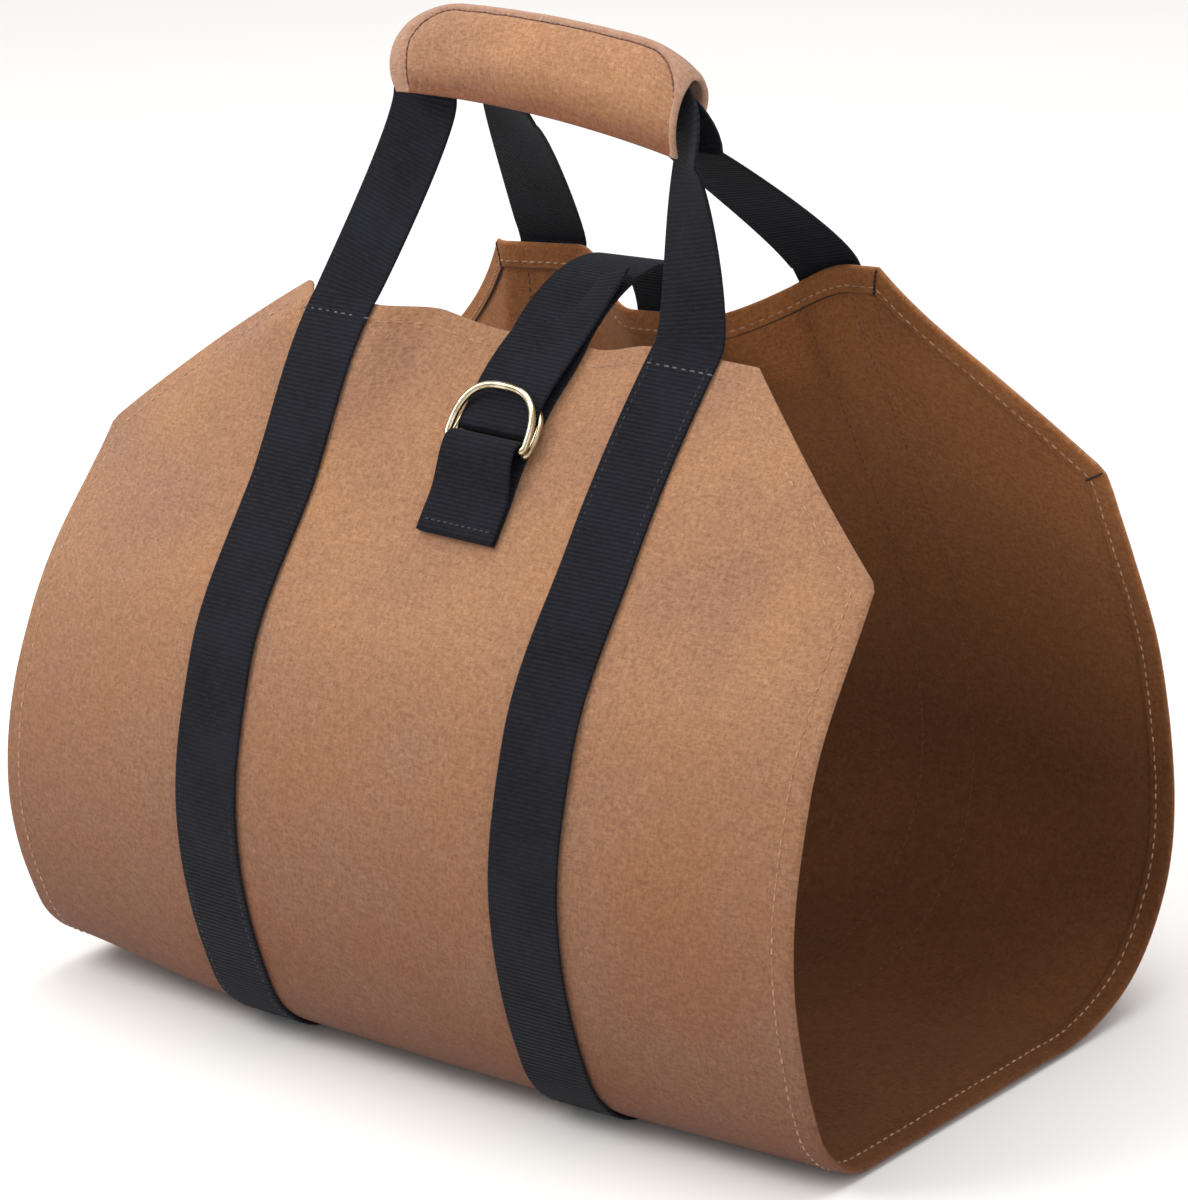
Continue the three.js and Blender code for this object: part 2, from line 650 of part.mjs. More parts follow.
// Closed loop of round wire through flat lying centres
function wireLoop(centres, axis, radius) {
  const sides = 8;
  const count = centres.length;
  const positions = [];
  const index = [];
  centres.forEach((centre, i) => {
    const along = centres[(i + 1) % count].clone().sub(centres[(i + count - 1) % count]).normalize();
    const side = along.clone().cross(axis).normalize();
    const top = side.clone().cross(along).normalize();
    for (let k = 0; k < sides; k += 1) {
      const angle = (2 * Math.PI * (k + 0.5)) / sides;
      const p = centre.clone();
      p.addScaledVector(side, radius * Math.cos(angle)).addScaledVector(top, radius * Math.sin(angle));
      positions.push(p.x, p.y, p.z);
    }
  });
  for (let i = 0; i < count; i += 1) {
    for (let k = 0; k < sides; k += 1) {
      const next = (i + 1) % count;
      const turn = (k + 1) % sides;
      const [a, b, c, d] = [i * sides + k, i * sides + turn, next * sides + turn, next * sides + k];
      index.push(a, b, c, a, c, d);
    }
  }
  const geometry = new THREE.BufferGeometry();
  geometry.setAttribute('position', new THREE.Float32BufferAttribute(positions, 3));
  geometry.setIndex(index);
  return facingOut(geometry);
}

addPiece('lower_d_ring', dRing(lowerRingOffset, 0), brassMaterial);
addPiece('upper_d_ring', dRing(upperRingOffset, halfwayLift), brassMaterial);

// Strap sewn to the back panel, arched over the opening, round the lower ring's arch and back on itself
function closureStrap() {
  const middles = [];
  const acrosses = [];
  const widths = [];
  const place = (middle, across, width) => {
    middles.push(middle);
    acrosses.push(across);
    widths.push(width);
  };
  const onCloth = (s, offset) => {
    place(clothPoint(closureX, s, offset), closureAcross(s), closureWidthAt(s));
  };
  const sewnStart = sheetLength - strapSewnLength;
  const sewnRows = [sewnStart, ...rowLengths.filter((s) => s > sewnStart + 4)];
  sewnRows.forEach((s) => onCloth(s, incomingOffset));

  const backEdge = middles.at(-1);
  const leaving = backEdge.clone().sub(middles.at(-2)).normalize();
  const frontEdge = clothPoint(closureX, 0, incomingOffset);
  const arriving = clothPoint(closureX, hemWidth, incomingOffset).sub(frontEdge).normalize();
  const rise = strapArchHeight - (backEdge.z + frontEdge.z) / 2;
  const reach = (8 * rise) / (leaving.z - arriving.z);
  leaving.multiplyScalar(reach);
  arriving.multiplyScalar(reach);
  const archSteps = 12;
  for (let k = 1; k < archSteps; k += 1) {
    const t = k / archSteps;
    const across = closureAcross(sheetLength).lerp(closureAcross(0), t);
    place(cubicStretch(backEdge, frontEdge, leaving, arriving, t), across, closureWidth);
  }

  const rollDistance = ringBarDistance - ringHeight * rollHeightShare;
  const onPanel = [0, hemWidth, (hemWidth + rollDistance) / 2, rollDistance];
  onPanel.forEach((s) => onCloth(s, incomingOffset));
  const rollCentre = (incomingOffset + returnOffset) / 2;
  const rollRadius = returnOffset - rollCentre;
  const turns = 8;
  for (let k = 1; k < turns; k += 1) {
    const angle = Math.PI * (k / turns);
    const s = rollDistance + rollRadius * Math.sin(angle);
    onCloth(s, rollCentre - rollRadius * Math.cos(angle));
  }
  const leaveDistance = ringBarDistance - ringHeight - ringWire;
  [0, 0.5, 1].forEach((share) => {
    const s = THREE.MathUtils.lerp(rollDistance, leaveDistance, share);
    onCloth(s, returnOffset);
  });

  const start = middles.at(-1);
  const startAcross = closureAcross(leaveDistance);
  const away = start.clone().sub(middles.at(-2)).normalize();
  const tip = new THREE.Vector3(closureX, start.y, start.z).add(freeEndTravel);
  const freeSteps = 8;
  for (let k = 1; k <= freeSteps; k += 1) {
    const t = k / freeSteps;
    const middle = cubicStretch(start, tip, away.clone().multiplyScalar(freeEndLeaving), freeEndHeading, t);
    const width = THREE.MathUtils.lerp(closureWidthAt(leaveDistance), closureWidth, smooth(2 * t));
    place(middle, startAcross.clone().lerp(freeEndAcross, t * t), width);
  }
  return bandGeometry(pathStations(middles, acrosses, widths), closureWidth, webbingThickness);
}

addPiece('closure_strap', closureStrap(), webbingMaterial);

// The middle of the base is the origin
const extent = new THREE.Box3().setFromObject(carrier);
const centre = extent.getCenter(new THREE.Vector3());
carrier.position.set(-centre.x, -centre.y, -extent.min.z);

export default carrier;
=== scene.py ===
# Looks of the canvas log carrier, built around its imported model.
import bisect
import math

import bmesh
import bpy
from mathutils import Matrix, Vector, noise


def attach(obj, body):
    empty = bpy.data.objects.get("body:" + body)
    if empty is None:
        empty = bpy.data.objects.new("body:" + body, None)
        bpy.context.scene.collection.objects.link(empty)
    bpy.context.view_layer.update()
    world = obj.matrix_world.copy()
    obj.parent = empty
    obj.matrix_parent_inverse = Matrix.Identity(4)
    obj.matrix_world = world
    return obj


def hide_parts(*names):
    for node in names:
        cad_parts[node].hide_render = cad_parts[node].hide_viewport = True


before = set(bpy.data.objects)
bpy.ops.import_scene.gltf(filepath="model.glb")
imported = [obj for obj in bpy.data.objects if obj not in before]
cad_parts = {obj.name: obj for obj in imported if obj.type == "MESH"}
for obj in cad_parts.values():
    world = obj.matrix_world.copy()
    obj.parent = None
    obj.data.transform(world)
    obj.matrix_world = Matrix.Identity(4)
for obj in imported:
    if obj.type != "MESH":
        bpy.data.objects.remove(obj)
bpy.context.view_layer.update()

# Measures are in millimetres and turn to metres when a mesh is made.
MM = 0.001

# Canvas sheet
sheet_width = 490.0
top_edge_width = 280.0
corner_cut_length = 94.0
canvas_thickness = 1.7
hem_width = 14.0
hem_thickness = 3.5

# Sling section, taken where the webbing bands run
front_depth = 157.0
back_depth = 171.0
front_height = 349.0
back_height = 352.0
section_tension = 1.05
middle_to_origin = -6.744

# How the loaded cloth draws in and sags
end_draw_in = 12.0
shoulder_draw_in = 9.0
left_end_draw_in = 6.0
left_shoulder_draw_in = 85.0
left_shoulder_sag = 20.0
left_end_rise = 9.0
left_rise_start = 125.0
left_rise_height = 140.0
front_top_dip = 7.0
front_top_pull = 16.0
back_top_dip = 22.0
back_top_pull = 30.0
back_top_gather = 18.0
back_top_shift = 4.0
back_top_tilt = 24.0
back_tilt_reach = 400.0
back_wing_bend = math.radians(30)
back_wing_start = 132.0
back_wing_reach = 220.0
dip_reach = 110.0

# Webbing bands and handle loops
webbing_width = 40.0
webbing_thickness = 1.8
band_spacing = 199.0
grip_width = 26.0
grip_out = -3.6
grip_room = 3.5
panel_reach = 40.0
seat_gap = 0.3
front_wrap_reach = 45.0
back_wrap_reach = 40.0
loop_bend_radius = 26.0

# Handle wrap over the two loops, shorter at the back
wrap_length = 172.0
wrap_height = 43.5
wrap_depth = 32.0
wrap_padding = 4.5
wrap_corner_length = 32.0
wrap_corner_drop = {"left": 15.0, "right": 14.0}
wrap_corner_share = 0.97
wrap_end_bulge = {"left": 5.0, "right": 0.0}
wrap_back_shift = 6.0
wrap_growth = 0.06
wrap_lean = math.radians(3)
wrap_droop = 5.0
wrap_tilt = 4.5
wrap_top_height = 490.0
wrap_centre_y = 13.5
wrap_border = {"left": 9.0, "right": 3.0}

# Where each strap enters the wrap: place along it, distance toward the front, turn in radians
FRONT_GRIP = {"left": (-78.0, 3.0, 0.0), "right": (83.0, 4.0, math.radians(38))}
BACK_GRIP = {"left": (-35.0, -8.0, math.radians(24)), "right": (74.0, -10.0, 0.0)}

# Closure
closure_width = 47.0
closure_pinch = 43.0
closure_x = 16.0
closure_margin = 4.0
closure_seat_gap = 0.5
tab_length = 53.0
tab_top_distance = 60.0
ring_wire = 3.6
ring_inner_width = 44.0
ring_inner_height = 25.0
ring_corner = 2.6
ring_squareness = 2.7
roll_height_share = 0.42
pinch_reach = 30.0
strap_arch_height = 368.0
strap_sewn_length = 60.0
free_end_travel = Vector((1, 66, 38))
free_end_leaving = 60.0
free_end_heading = Vector((0, 42, 12))
free_end_across = Vector((0.89, -0.3, 0.3))

half_sheet = sheet_width / 2
band_centre = band_spacing / 2
band_inner = band_centre - webbing_width / 2
band_outer = band_centre + webbing_width / 2
canvas_lift = webbing_thickness + seat_gap

# Stations of the sling section from the front top edge round to the back top edge:
# side of the base, share of its depth, share of its height, travel direction in degrees
SECTION = [
    ("front", 0.11, 1.0, -137),
    ("front", 0.55, 0.78, -127),
    ("front", 0.89, 0.555, -109),
    ("front", 1.0, 0.34, -91),
    ("front", 0.9, 0.09, -70),
    ("front", 0.63, 0.0, 0),
    ("back", 0.35, 0.0, 0),
    ("back", 0.9, 0.115, 52),
    ("back", 1.0, 0.3, 93),
    ("back", 0.895, 0.56, 112),
    ("back", 0.69, 0.8, 107),
    ("back", 0.585, 1.0, 96),
]


def lerp(a, b, t):
    return a + (b - a) * t


def smooth(t):
    t = min(max(t, 0.0), 1.0)
    return t * t * (3 - 2 * t)


def cubic(a, b, leaving, arriving, t):
    return (a * (2 * t ** 3 - 3 * t ** 2 + 1) + b * (3 * t ** 2 - 2 * t ** 3)
            + leaving * (t ** 3 - 2 * t ** 2 + t) + arriving * (t ** 3 - t ** 2))


def walked(points):
    """Length walked along a line of points at each of them."""
    lengths = [0.0]
    for p, q in zip(points, points[1:]):
        lengths.append(lengths[-1] + (q - p).length)
    return lengths


def found(lengths, target):
    """Number of the stretch that holds a length, and the share of that stretch up to it."""
    i = min(max(bisect.bisect_right(lengths, target), 1), len(lengths) - 1)
    return i - 1, (target - lengths[i - 1]) / max(lengths[i] - lengths[i - 1], 1e-6)


def station_point(row):
    side, depth, height, _ = row
    if side == "front":
        return Vector((-depth * front_depth, height * front_height + canvas_lift))
    return Vector((depth * back_depth, height * back_height + canvas_lift))


def heading_vector(degrees, reach):
    return Vector((math.cos(math.radians(degrees)), math.sin(math.radians(degrees)))) * reach


def trace_section(steps):
    points = []
    for i in range(len(SECTION) - 1):
        a, b = station_point(SECTION[i]), station_point(SECTION[i + 1])
        reach = (b - a).length * section_tension
        leaving = heading_vector(SECTION[i][3], reach)
        arriving = heading_vector(SECTION[i + 1][3], reach)
        last = i == len(SECTION) - 2
        points += [cubic(a, b, leaving, arriving, k / steps) for k in range(steps + last)]
    return points


stretch_steps = 80
section_points = trace_section(stretch_steps)
section_lengths = walked(section_points)
sheet_length = section_lengths[-1]
# Length along the cloth from the front top edge to the middle of what rests on the ground
ground_line = sheet_length * 0.47


def section_at(s):
    """Section point and outward direction at a length along the cloth."""
    s = min(max(s, 0.0), sheet_length)
    i, share = found(section_lengths, s)
    point = section_points[i].lerp(section_points[i + 1], share)
    along = (section_points[min(i + 3, len(section_points) - 1)] - section_points[max(i - 2, 0)]).normalized()
    return point, Vector((along.y, -along.x))


pull_flat = closure_width / 2 + closure_margin
left_pull_reach = closure_x + band_inner
right_pull_reach = band_inner - closure_x
back_pull_reach = band_outer - closure_x


def closure_pull(x, right_reach):
    """Share of the closure's pull: full under the strap, fading out toward the bands."""
    reach = left_pull_reach if x < closure_x else right_reach
    return smooth((reach - abs(x - closure_x)) / (reach - pull_flat))


def half_width_at(s):
    share = min(min(s, sheet_length - s) / corner_cut_length, 1.0)
    return lerp(top_edge_width / 2, half_sheet, share)


def left_band_pull(x, s):
    """Share of the pull of the front loop's left strap, gone at the cut edge and between the bands."""
    return smooth((x + half_width_at(s)) / (20 + 0.4 * s)) * smooth((-x - band_inner + 30) / 30)


def edge_distance(x, s):
    """Distance on the flat sheet from its nearest edge."""
    from_end = min(s, sheet_length - s)
    cut_slope = (half_sheet - top_edge_width / 2) / corner_cut_length
    from_cut = (top_edge_width / 2 + cut_slope * from_end - abs(x)) / math.hypot(1, cut_slope)
    return min(from_end, half_sheet - abs(x), from_cut)


def relief(x, s):
    """Outward swell of the loaded cloth: soft bulges, tension folds and puckers along the seams."""
    from_end = min(s, sheet_length - s)
    on_base = abs(s - ground_line) < 90
    soft = noise.noise(Vector((x / 92, s / 92, 3.1))) * 2.2 + noise.noise(Vector((x / 41, s / 41, 7.7))) * 0.7
    soft *= smooth(from_end / 60)
    if on_base:
        soft *= 0.25
    from_band = min(abs(abs(x) - band_inner), abs(abs(x) - band_outer))
    between = abs(x) < band_inner or abs(x) > band_outer
    wave = noise.noise(Vector((s / 9.5, round(x / 60.0) * 3.3, 1.9)))
    pucker = 0.55 * wave * math.exp(-from_band / 9.0) if between else 0.0
    edge = edge_distance(x, s)
    along = s + abs(x) * 0.7
    hem_wave = noise.noise(Vector((along / 8.0, 5.0, x / 300.0)))
    hem = 0.45 * hem_wave * math.exp(-abs(edge - 10) / 5.0)
    return soft * (0.35 + 0.65 * smooth(from_band / 30)) + pucker + hem


def cloth_point(x, s, offset, swell=1.0):
    """Point on the loaded cloth: x across the sheet, s along it, offset outward from its outer face."""
    point, outward = section_at(s)
    offset += relief(x, s) * swell
    y = point.x + outward.x * offset
    z = point.y + outward.y * offset
    inward = -min(max(point.x / front_depth, -1.0), 1.0)
    lift = max(0.0, point.y / front_height)
    share = (x / half_sheet) ** 2
    if x < 0 and inward > 0:
        y += inward * (left_end_draw_in * share + left_shoulder_draw_in * lift ** 3 * share ** 2)
        z -= left_shoulder_sag * lift ** 3 * share ** 2
    else:
        y += inward * (end_draw_in + shoulder_draw_in * lift) * share
    at_left_end = smooth((-x - left_rise_start) / (half_sheet - left_rise_start))
    z += left_end_rise * at_left_end * smooth(1 - point.y / left_rise_height)
    middle = closure_pull(x, right_pull_reach)
    from_back = sheet_length - s
    near_front = smooth(1 - s / dip_reach)
    near_back = smooth(1 - from_back / dip_reach)
    y -= front_top_pull * left_band_pull(x, s) * near_front + back_top_pull * middle * near_back
    z -= front_top_dip * near_front * middle + back_top_dip * near_back * closure_pull(x, back_pull_reach)
    z += back_top_tilt * smooth(1 - from_back / back_tilt_reach) * x / top_edge_width
    wing = max(0.0, -x - back_wing_start)
    wing *= smooth((back_wing_reach - from_back) / (back_wing_reach - corner_cut_length))
    y += wing * math.sin(back_wing_bend)
    across = x * (1 - back_top_gather / (top_edge_width / 2) * near_back) + back_top_shift * near_back
    across += wing * (1 - math.cos(back_wing_bend))
    return Vector((across, y + middle_to_origin, z))


# Meshes


def mesh_piece(name, points, faces, uvs=None, material_of_face=None, materials=()):
    """New object with its place in its mesh. uvs gives one pair for each point, in metres of cloth."""
    mesh = bpy.data.meshes.new(name)
    mesh.from_pydata([p * MM for p in points], [], faces)
    if uvs:
        layer = mesh.uv_layers.new(name="cloth")
        for loop in mesh.loops:
            layer.data[loop.index].uv = uvs[loop.vertex_index]
    for m in materials:
        mesh.materials.append(m)
    if material_of_face:
        for polygon, index in zip(mesh.polygons, material_of_face):
            polygon.material_index = index
    mesh.polygons.foreach_set("use_smooth", [True] * len(mesh.polygons))
    mesh.update()
    made = bpy.data.objects.new(name, mesh)
    bpy.context.scene.collection.objects.link(made)
    return made


def closed_slab(outer, inner):
    """Points and faces of a closed sheet from two matching grids. The outer grid comes first."""
    rows, columns = len(outer), len(outer[0])
    points = [p for row in outer for p in row] + [p for row in inner for p in row]
    at = lambda side, i, j: side * rows * columns + i * columns + j
    faces, sides = [], []
    for i in range(rows - 1):
        for j in range(columns - 1):
            faces.append((at(0, i, j), at(0, i, j + 1), at(0, i + 1, j + 1), at(0, i + 1, j)))
            sides.append(0)
            faces.append((at(1, i, j), at(1, i + 1, j), at(1, i + 1, j + 1), at(1, i, j + 1)))
            sides.append(1)
        for j, flip in ((0, False), (columns - 1, True)):
            face = (at(0, i, j), at(0, i + 1, j), at(1, i + 1, j), at(1, i, j))
            faces.append(face[::-1] if flip else face)
            sides.append(0)
    for j in range(columns - 1):
        for i, flip in ((0, False), (rows - 1, True)):
            face = (at(0, i, j), at(1, i, j), at(1, i, j + 1), at(0, i, j + 1))
            faces.append(face[::-1] if flip else face)
            sides.append(0)
    return points, faces, sides


def face_out(piece):
    """Turns the mesh so that its volume is positive."""
    bm = bmesh.new()
    bm.from_mesh(piece.data)
    if bm.calc_volume(signed=True) < 0:
        bmesh.ops.reverse_faces(bm, faces=bm.faces)
        bm.to_mesh(piece.data)
    bm.free()
    return piece


def edge_round(distance, radius):
    """How far a rounded edge falls back at a distance from its rim."""
    if distance >= radius:
        return 0.0
    return radius - math.sqrt(max(radius ** 2 - (radius - distance) ** 2, 0.0))


# Colours and materials


def colour(hex_value):
    """sRGB hex to linear red, green, blue and alpha."""
    parts = [int(hex_value[i:i + 2], 16) / 255 for i in (1, 3, 5)]
    return tuple(c / 12.92 if c <= 0.04045 else ((c + 0.055) / 1.055) ** 2.4 for c in parts) + (1.0,)


def add_node(tree, kind, inputs, **settings):
    """Adds a node with its settings. inputs go in order or by name, and one that is a node or a socket is linked."""
    made = tree.nodes.new("ShaderNode" + kind)
    for key, value in settings.items():
        setattr(made, key, value)
    for key, value in inputs.items() if isinstance(inputs, dict) else enumerate(inputs):
        if isinstance(value, bpy.types.Node):
            value = value.outputs[0]
        if isinstance(value, bpy.types.NodeSocket):
            tree.links.new(value, made.inputs[key])
        else:
            made.inputs[key].default_value = value
    return made


def new_material(name, pattern_space):
    """A material, its node tree and the coordinates of its patterns in millimetres."""
    made = bpy.data.materials.new(name)
    made.use_nodes = True
    tree = made.node_tree
    tree.nodes.clear()
    if pattern_space == "cloth":
        metres = add_node(tree, "UVMap", {}, uv_map="cloth")
    else:
        metres = add_node(tree, "TexCoord", {}).outputs["Object"]
    return made, tree, add_node(tree, "Mapping", {"Vector": metres, "Scale": (1000, 1000, 1000)})


def finish_surface(tree, surface):
    add_node(tree, "OutputMaterial", [add_node(tree, "BsdfPrincipled", surface)])


def waxed_canvas(name, light, dark, grain_light, grain_dark, wear, sheen=0.1, painted_shade=None):
    """Waxed cotton canvas: brushed with wax, so matt with a cloudy tone and a fine felted grain.

    The last argument gives a darker tone, the line that it runs beside and the distances from that line at
    which it is full and at which it ends. That darker tone is painted shade, multiplied into the cloth's colour.
    """
    made, tree, mm = new_material(name, "cloth")
    # Clouds of wax 75 mm wide, blotches over a few threads and the felted grain
    clouds, blotches, grain = (
        add_node(tree, "MapRange", [add_node(tree, "TexNoise", {"Vector": mm, "Scale": 1 / size, "Detail": detail,
                                                               "Roughness": roughness}), low, high])
        for size, detail, roughness, low, high in ((75, 3, 0.5, 0.36, 0.64), (6.5, 4, 0.65, 0.3, 0.7),
                                                   (2.3, 4, 0.8, 0.36, 0.64)))
    # Slubs 1.2 mm thick and five times as long, one set along each way of the thread
    slub_sets = [add_node(tree, "TexNoise", {"Vector": add_node(tree, "Mapping", {"Vector": mm, "Scale": scale}),
                                             "Scale": 1.0, "Detail": 1})
                 for scale in ((1 / 6, 1 / 1.2, 1 / 1.2), (1 / 1.2, 1 / 6, 1 / 1.2))]
    slubs = add_node(tree, "MapRange", [add_node(tree, "Math", slub_sets, operation="ADD"), 0.8, 1.2])
    grain_share = add_node(tree, "Math", [grain, 0.72], operation="MULTIPLY")
    slub_share = add_node(tree, "Math", [slubs, 0.28], operation="MULTIPLY")
    speck = add_node(tree, "Math", [grain_share, slub_share], operation="ADD")
    tone = add_node(tree, "Mix", {0: clouds, 6: colour(light), 7: colour(dark)}, data_type="RGBA")
    heather = add_node(tree, "Mix", {0: speck, 6: colour(grain_dark), 7: colour(grain_light)}, data_type="RGBA")
    toned = add_node(tree, "Mix", {0: 0.5, 6: tone.outputs[2], 7: heather.outputs[2]}, data_type="RGBA")
    wax = add_node(tree, "Math", [blotches, 0.3], operation="MULTIPLY")
    face = add_node(tree, "Mix", {0: wax, 6: toned.outputs[2], 7: colour(wear)}, data_type="RGBA")
    # Painted shade: the colour is multiplied toward a darker tone near a line along the cloth
    if painted_shade:
        shade_tone, middle, full, end = painted_shade
        along = add_node(tree, "SeparateXYZ", [mm]).outputs[1]
        beside = add_node(tree, "Math", [along, middle], operation="SUBTRACT")
        away = add_node(tree, "Math", [beside], operation="ABSOLUTE")
        cloudy = add_node(tree, "Math", [clouds, (end - full) * 0.2], operation="MULTIPLY")
        reach = add_node(tree, "Math", [away, cloudy], operation="ADD")
        shade_amount = add_node(tree, "MapRange", [reach, full, end, 0.95, 0.0])
        face = add_node(tree, "Mix", {0: shade_amount, 6: face.outputs[2], 7: colour(shade_tone)}, data_type="RGBA",
                        blend_type="MULTIPLY")
    # Threads of 0.6 mm are too fine to show, so the weave is drawn at 1.2 mm
    split = add_node(tree, "SeparateXYZ", [mm])
    waves = [add_node(tree, "Math", [add_node(tree, "Math", [split.outputs[axis], math.pi / 1.2],
                                              operation="MULTIPLY")], operation="SINE") for axis in (0, 1)]
    over = add_node(tree, "Math", waves, operation="MULTIPLY")
    threads = add_node(tree, "Math", [add_node(tree, "Math", [wave], operation="ABSOLUTE") for wave in waves],
                       operation="ADD")
    weave = add_node(tree, "Math", [over, threads], operation="ADD")
    lumps = add_node(tree, "TexNoise", {"Vector": mm, "Scale": 1 / 11, "Detail": 4})
    height = None
    for strength, distance, source in ((0.6, 0.0009, lumps), (0.2, 0.00012, weave), (0.6, 0.0006, speck)):
        bump = {"Strength": strength, "Distance": distance, "Height": source}
        height = add_node(tree, "Bump", bump | ({"Normal": height} if height else {}))
    finish_surface(tree, {"Base Color": face.outputs[2], "Specular IOR Level": 0.22, "Normal": height,
                          "Roughness": add_node(tree, "MapRange", [blotches, 0, 1, 0.74, 0.9]),
                          "Sheen Weight": sheen, "Sheen Roughness": 0.6})
    return made


def ribbed_webbing():
    """Cotton webbing dyed blue black: ribs lie across the band, each a row of packed threads."""
    made, tree, mm = new_material("dyed cotton webbing", "cloth")
    split = add_node(tree, "SeparateXYZ", [mm])
    drift = add_node(tree, "TexNoise", {"Vector": mm, "Scale": 1 / 9, "Detail": 2})
    wobble = add_node(tree, "Math", [drift, 0.8], operation="MULTIPLY")
    length = add_node(tree, "Math", [split.outputs[1], wobble], operation="ADD")
    # Ribs of 1.2 mm are drawn at 2.2 mm so that they show, and their threads at 1.1 mm
    rib, thread = (add_node(tree, "Math", [add_node(tree, "Math", [place, 2 * math.pi / pitch],
                                                    operation="MULTIPLY")], operation="SINE")
                   for place, pitch in ((length, 2.2), (split.outputs[0], 1.1)))
    low_thread = add_node(tree, "Math", [thread, 0.35], operation="MULTIPLY")
    surface = add_node(tree, "Math", [rib, low_thread], operation="ADD")
    # Fibres 1.6 mm thick lie across the band
    across = add_node(tree, "Mapping", {"Vector": mm, "Scale": (1 / 4.8, 1 / 1.6, 1 / 1.6)})
    fibre = add_node(tree, "TexNoise", {"Vector": across, "Scale": 1.0, "Detail": 3, "Roughness": 0.7})
    faded = add_node(tree, "TexNoise", {"Vector": mm, "Scale": 1 / 34, "Detail": 3})
    patches = add_node(tree, "MapRange", [faded, 0.32, 0.68])
    base = add_node(tree, "Mix", {0: patches, 6: colour("#0B0C12"), 7: colour("#14151D")}, data_type="RGBA")
    tops = add_node(tree, "MapRange", [surface, -1.35, 1.35])
    lit = add_node(tree, "Math", [tops, add_node(tree, "MapRange", [fibre, 0.3, 0.7])], operation="MULTIPLY")
    share = add_node(tree, "Math", [lit, 0.6], operation="MULTIPLY")
    ribbed = add_node(tree, "Mix", {0: share, 6: base.outputs[2], 7: colour("#2A2B34")}, data_type="RGBA")
    ribs = add_node(tree, "Bump", {"Strength": 0.8, "Distance": 0.00022, "Height": surface})
    fuzz = add_node(tree, "Bump", {"Strength": 0.5, "Distance": 0.0004, "Height": fibre, "Normal": ribs})
    finish_surface(tree, {"Base Color": ribbed.outputs[2], "Roughness": 0.85, "Specular IOR Level": 0.14,
                          "Sheen Weight": 0.03, "Sheen Roughness": 0.5, "Normal": fuzz})
    return made


def twisted_thread(name, tone, shade):
    """Twisted polyester sewing thread: a slight gloss and a tone that varies from stitch to stitch."""
    made, tree, mm = new_material(name, "object")
    varied = add_node(tree, "MapRange", [add_node(tree, "TexNoise", {"Vector": mm, "Scale": 1 / 6, "Detail": 1}),
                                         0.35, 0.65])
    toned = add_node(tree, "Mix", {0: varied, 6: colour(tone), 7: colour(shade)}, data_type="RGBA")
    # Plies of 0.5 mm
    plies = add_node(tree, "TexNoise", {"Vector": mm, "Scale": 1 / 0.5, "Detail": 1})
    twist = add_node(tree, "Bump", {"Strength": 0.6, "Distance": 0.0002, "Height": plies})
    finish_surface(tree, {"Base Color": toned.outputs[2], "Roughness": 0.55, "Sheen Weight": 0.2, "Normal": twist})
    return made


def plated_wire():
    """Steel wire plated in pale brass: polished by wear, with a darker film where hands don't reach."""
    made, tree, mm = new_material("pale brass plated wire", "object")
    # Film in patches of 5 mm, smears of 2.5 mm and soft scuffs of 3 mm
    film, smears, scuffs = (add_node(tree, "TexNoise", {"Vector": mm, "Scale": 1 / size, "Detail": detail})
                            for size, detail in ((5, 3), (2.5, 3), (3, 2)))
    dulled = add_node(tree, "MapRange", [film, 0.42, 0.75])
    tone = add_node(tree, "Mix", {0: dulled, 6: colour("#DFD2B2"), 7: colour("#96805C")}, data_type="RGBA")
    finish_surface(tree, {"Base Color": tone.outputs[2], "Metallic": 1.0,
                          "Roughness": add_node(tree, "MapRange", [smears, 0.3, 0.7, 0.14, 0.3]),
                          "Normal": add_node(tree, "Bump", {"Strength": 0.1, "Distance": 0.0001, "Height": scuffs})})
    return made


def painted_board():
    """Matt white painted board under the carrier, a little uneven over 400 mm."""
    made, tree, mm = new_material("matt white board", "object")
    uneven = add_node(tree, "TexNoise", {"Vector": mm, "Scale": 1 / 400, "Detail": 2})
    tone = add_node(tree, "Mix", {0: uneven, 6: colour("#FBFAF8"), 7: colour("#F6F5F3")}, data_type="RGBA")
    finish_surface(tree, {"Base Color": tone.outputs[2], "Roughness": 0.9, "Specular IOR Level": 0.1})
    return made


# The face is drawn darker toward the middle of the base: painted shade
canvas_face = waxed_canvas("waxed canvas face", "#B37D52", "#936951", "#C89A74", "#63412C", "#785240",
                           painted_shade=("#A57F68", ground_line, 100, 335))
# The inner face is the same cloth as the face: its warmer, more saturated tone is painted bounced light, and its
# darkening toward the base is painted shade
canvas_back_painted_light = waxed_canvas("waxed canvas back", "#A66839", "#90552B", "#BA804F", "#60371A", "#704223", sheen=0.02,
                           painted_shade=("#A79F92", ground_line, 290, 450))
# Painted shade: a near-black copy of the canvas for the shadow line at the hem's inner edge and in its corner folds
hem_fold_shade = waxed_canvas("painted shade in the hem's fold", "#2C190F", "#24140C", "#38231A", "#1A0E08", "#20120C")
# Painted light: a lighter copy of the sleeve's canvas for its border beyond the seam
wrap_border_painted_light = waxed_canvas("waxed canvas border with painted light", "#B98E74", "#A87D66", "#C9A58D", "#85604C", "#96705A")
webbing = ribbed_webbing()
tan_thread = twisted_thread("tan thread", "#B68B69", "#916A4D")
black_thread = twisted_thread("blue black thread", "#101117", "#1C1D26")
grey_thread = twisted_thread("rubbed grey thread", "#5F5E62", "#46464C")
seam_thread = twisted_thread("dark brown thread", "#6A3A22", "#4E2A19")
brass = plated_wire()

# Canvas body: one sheet, its border folded in twice


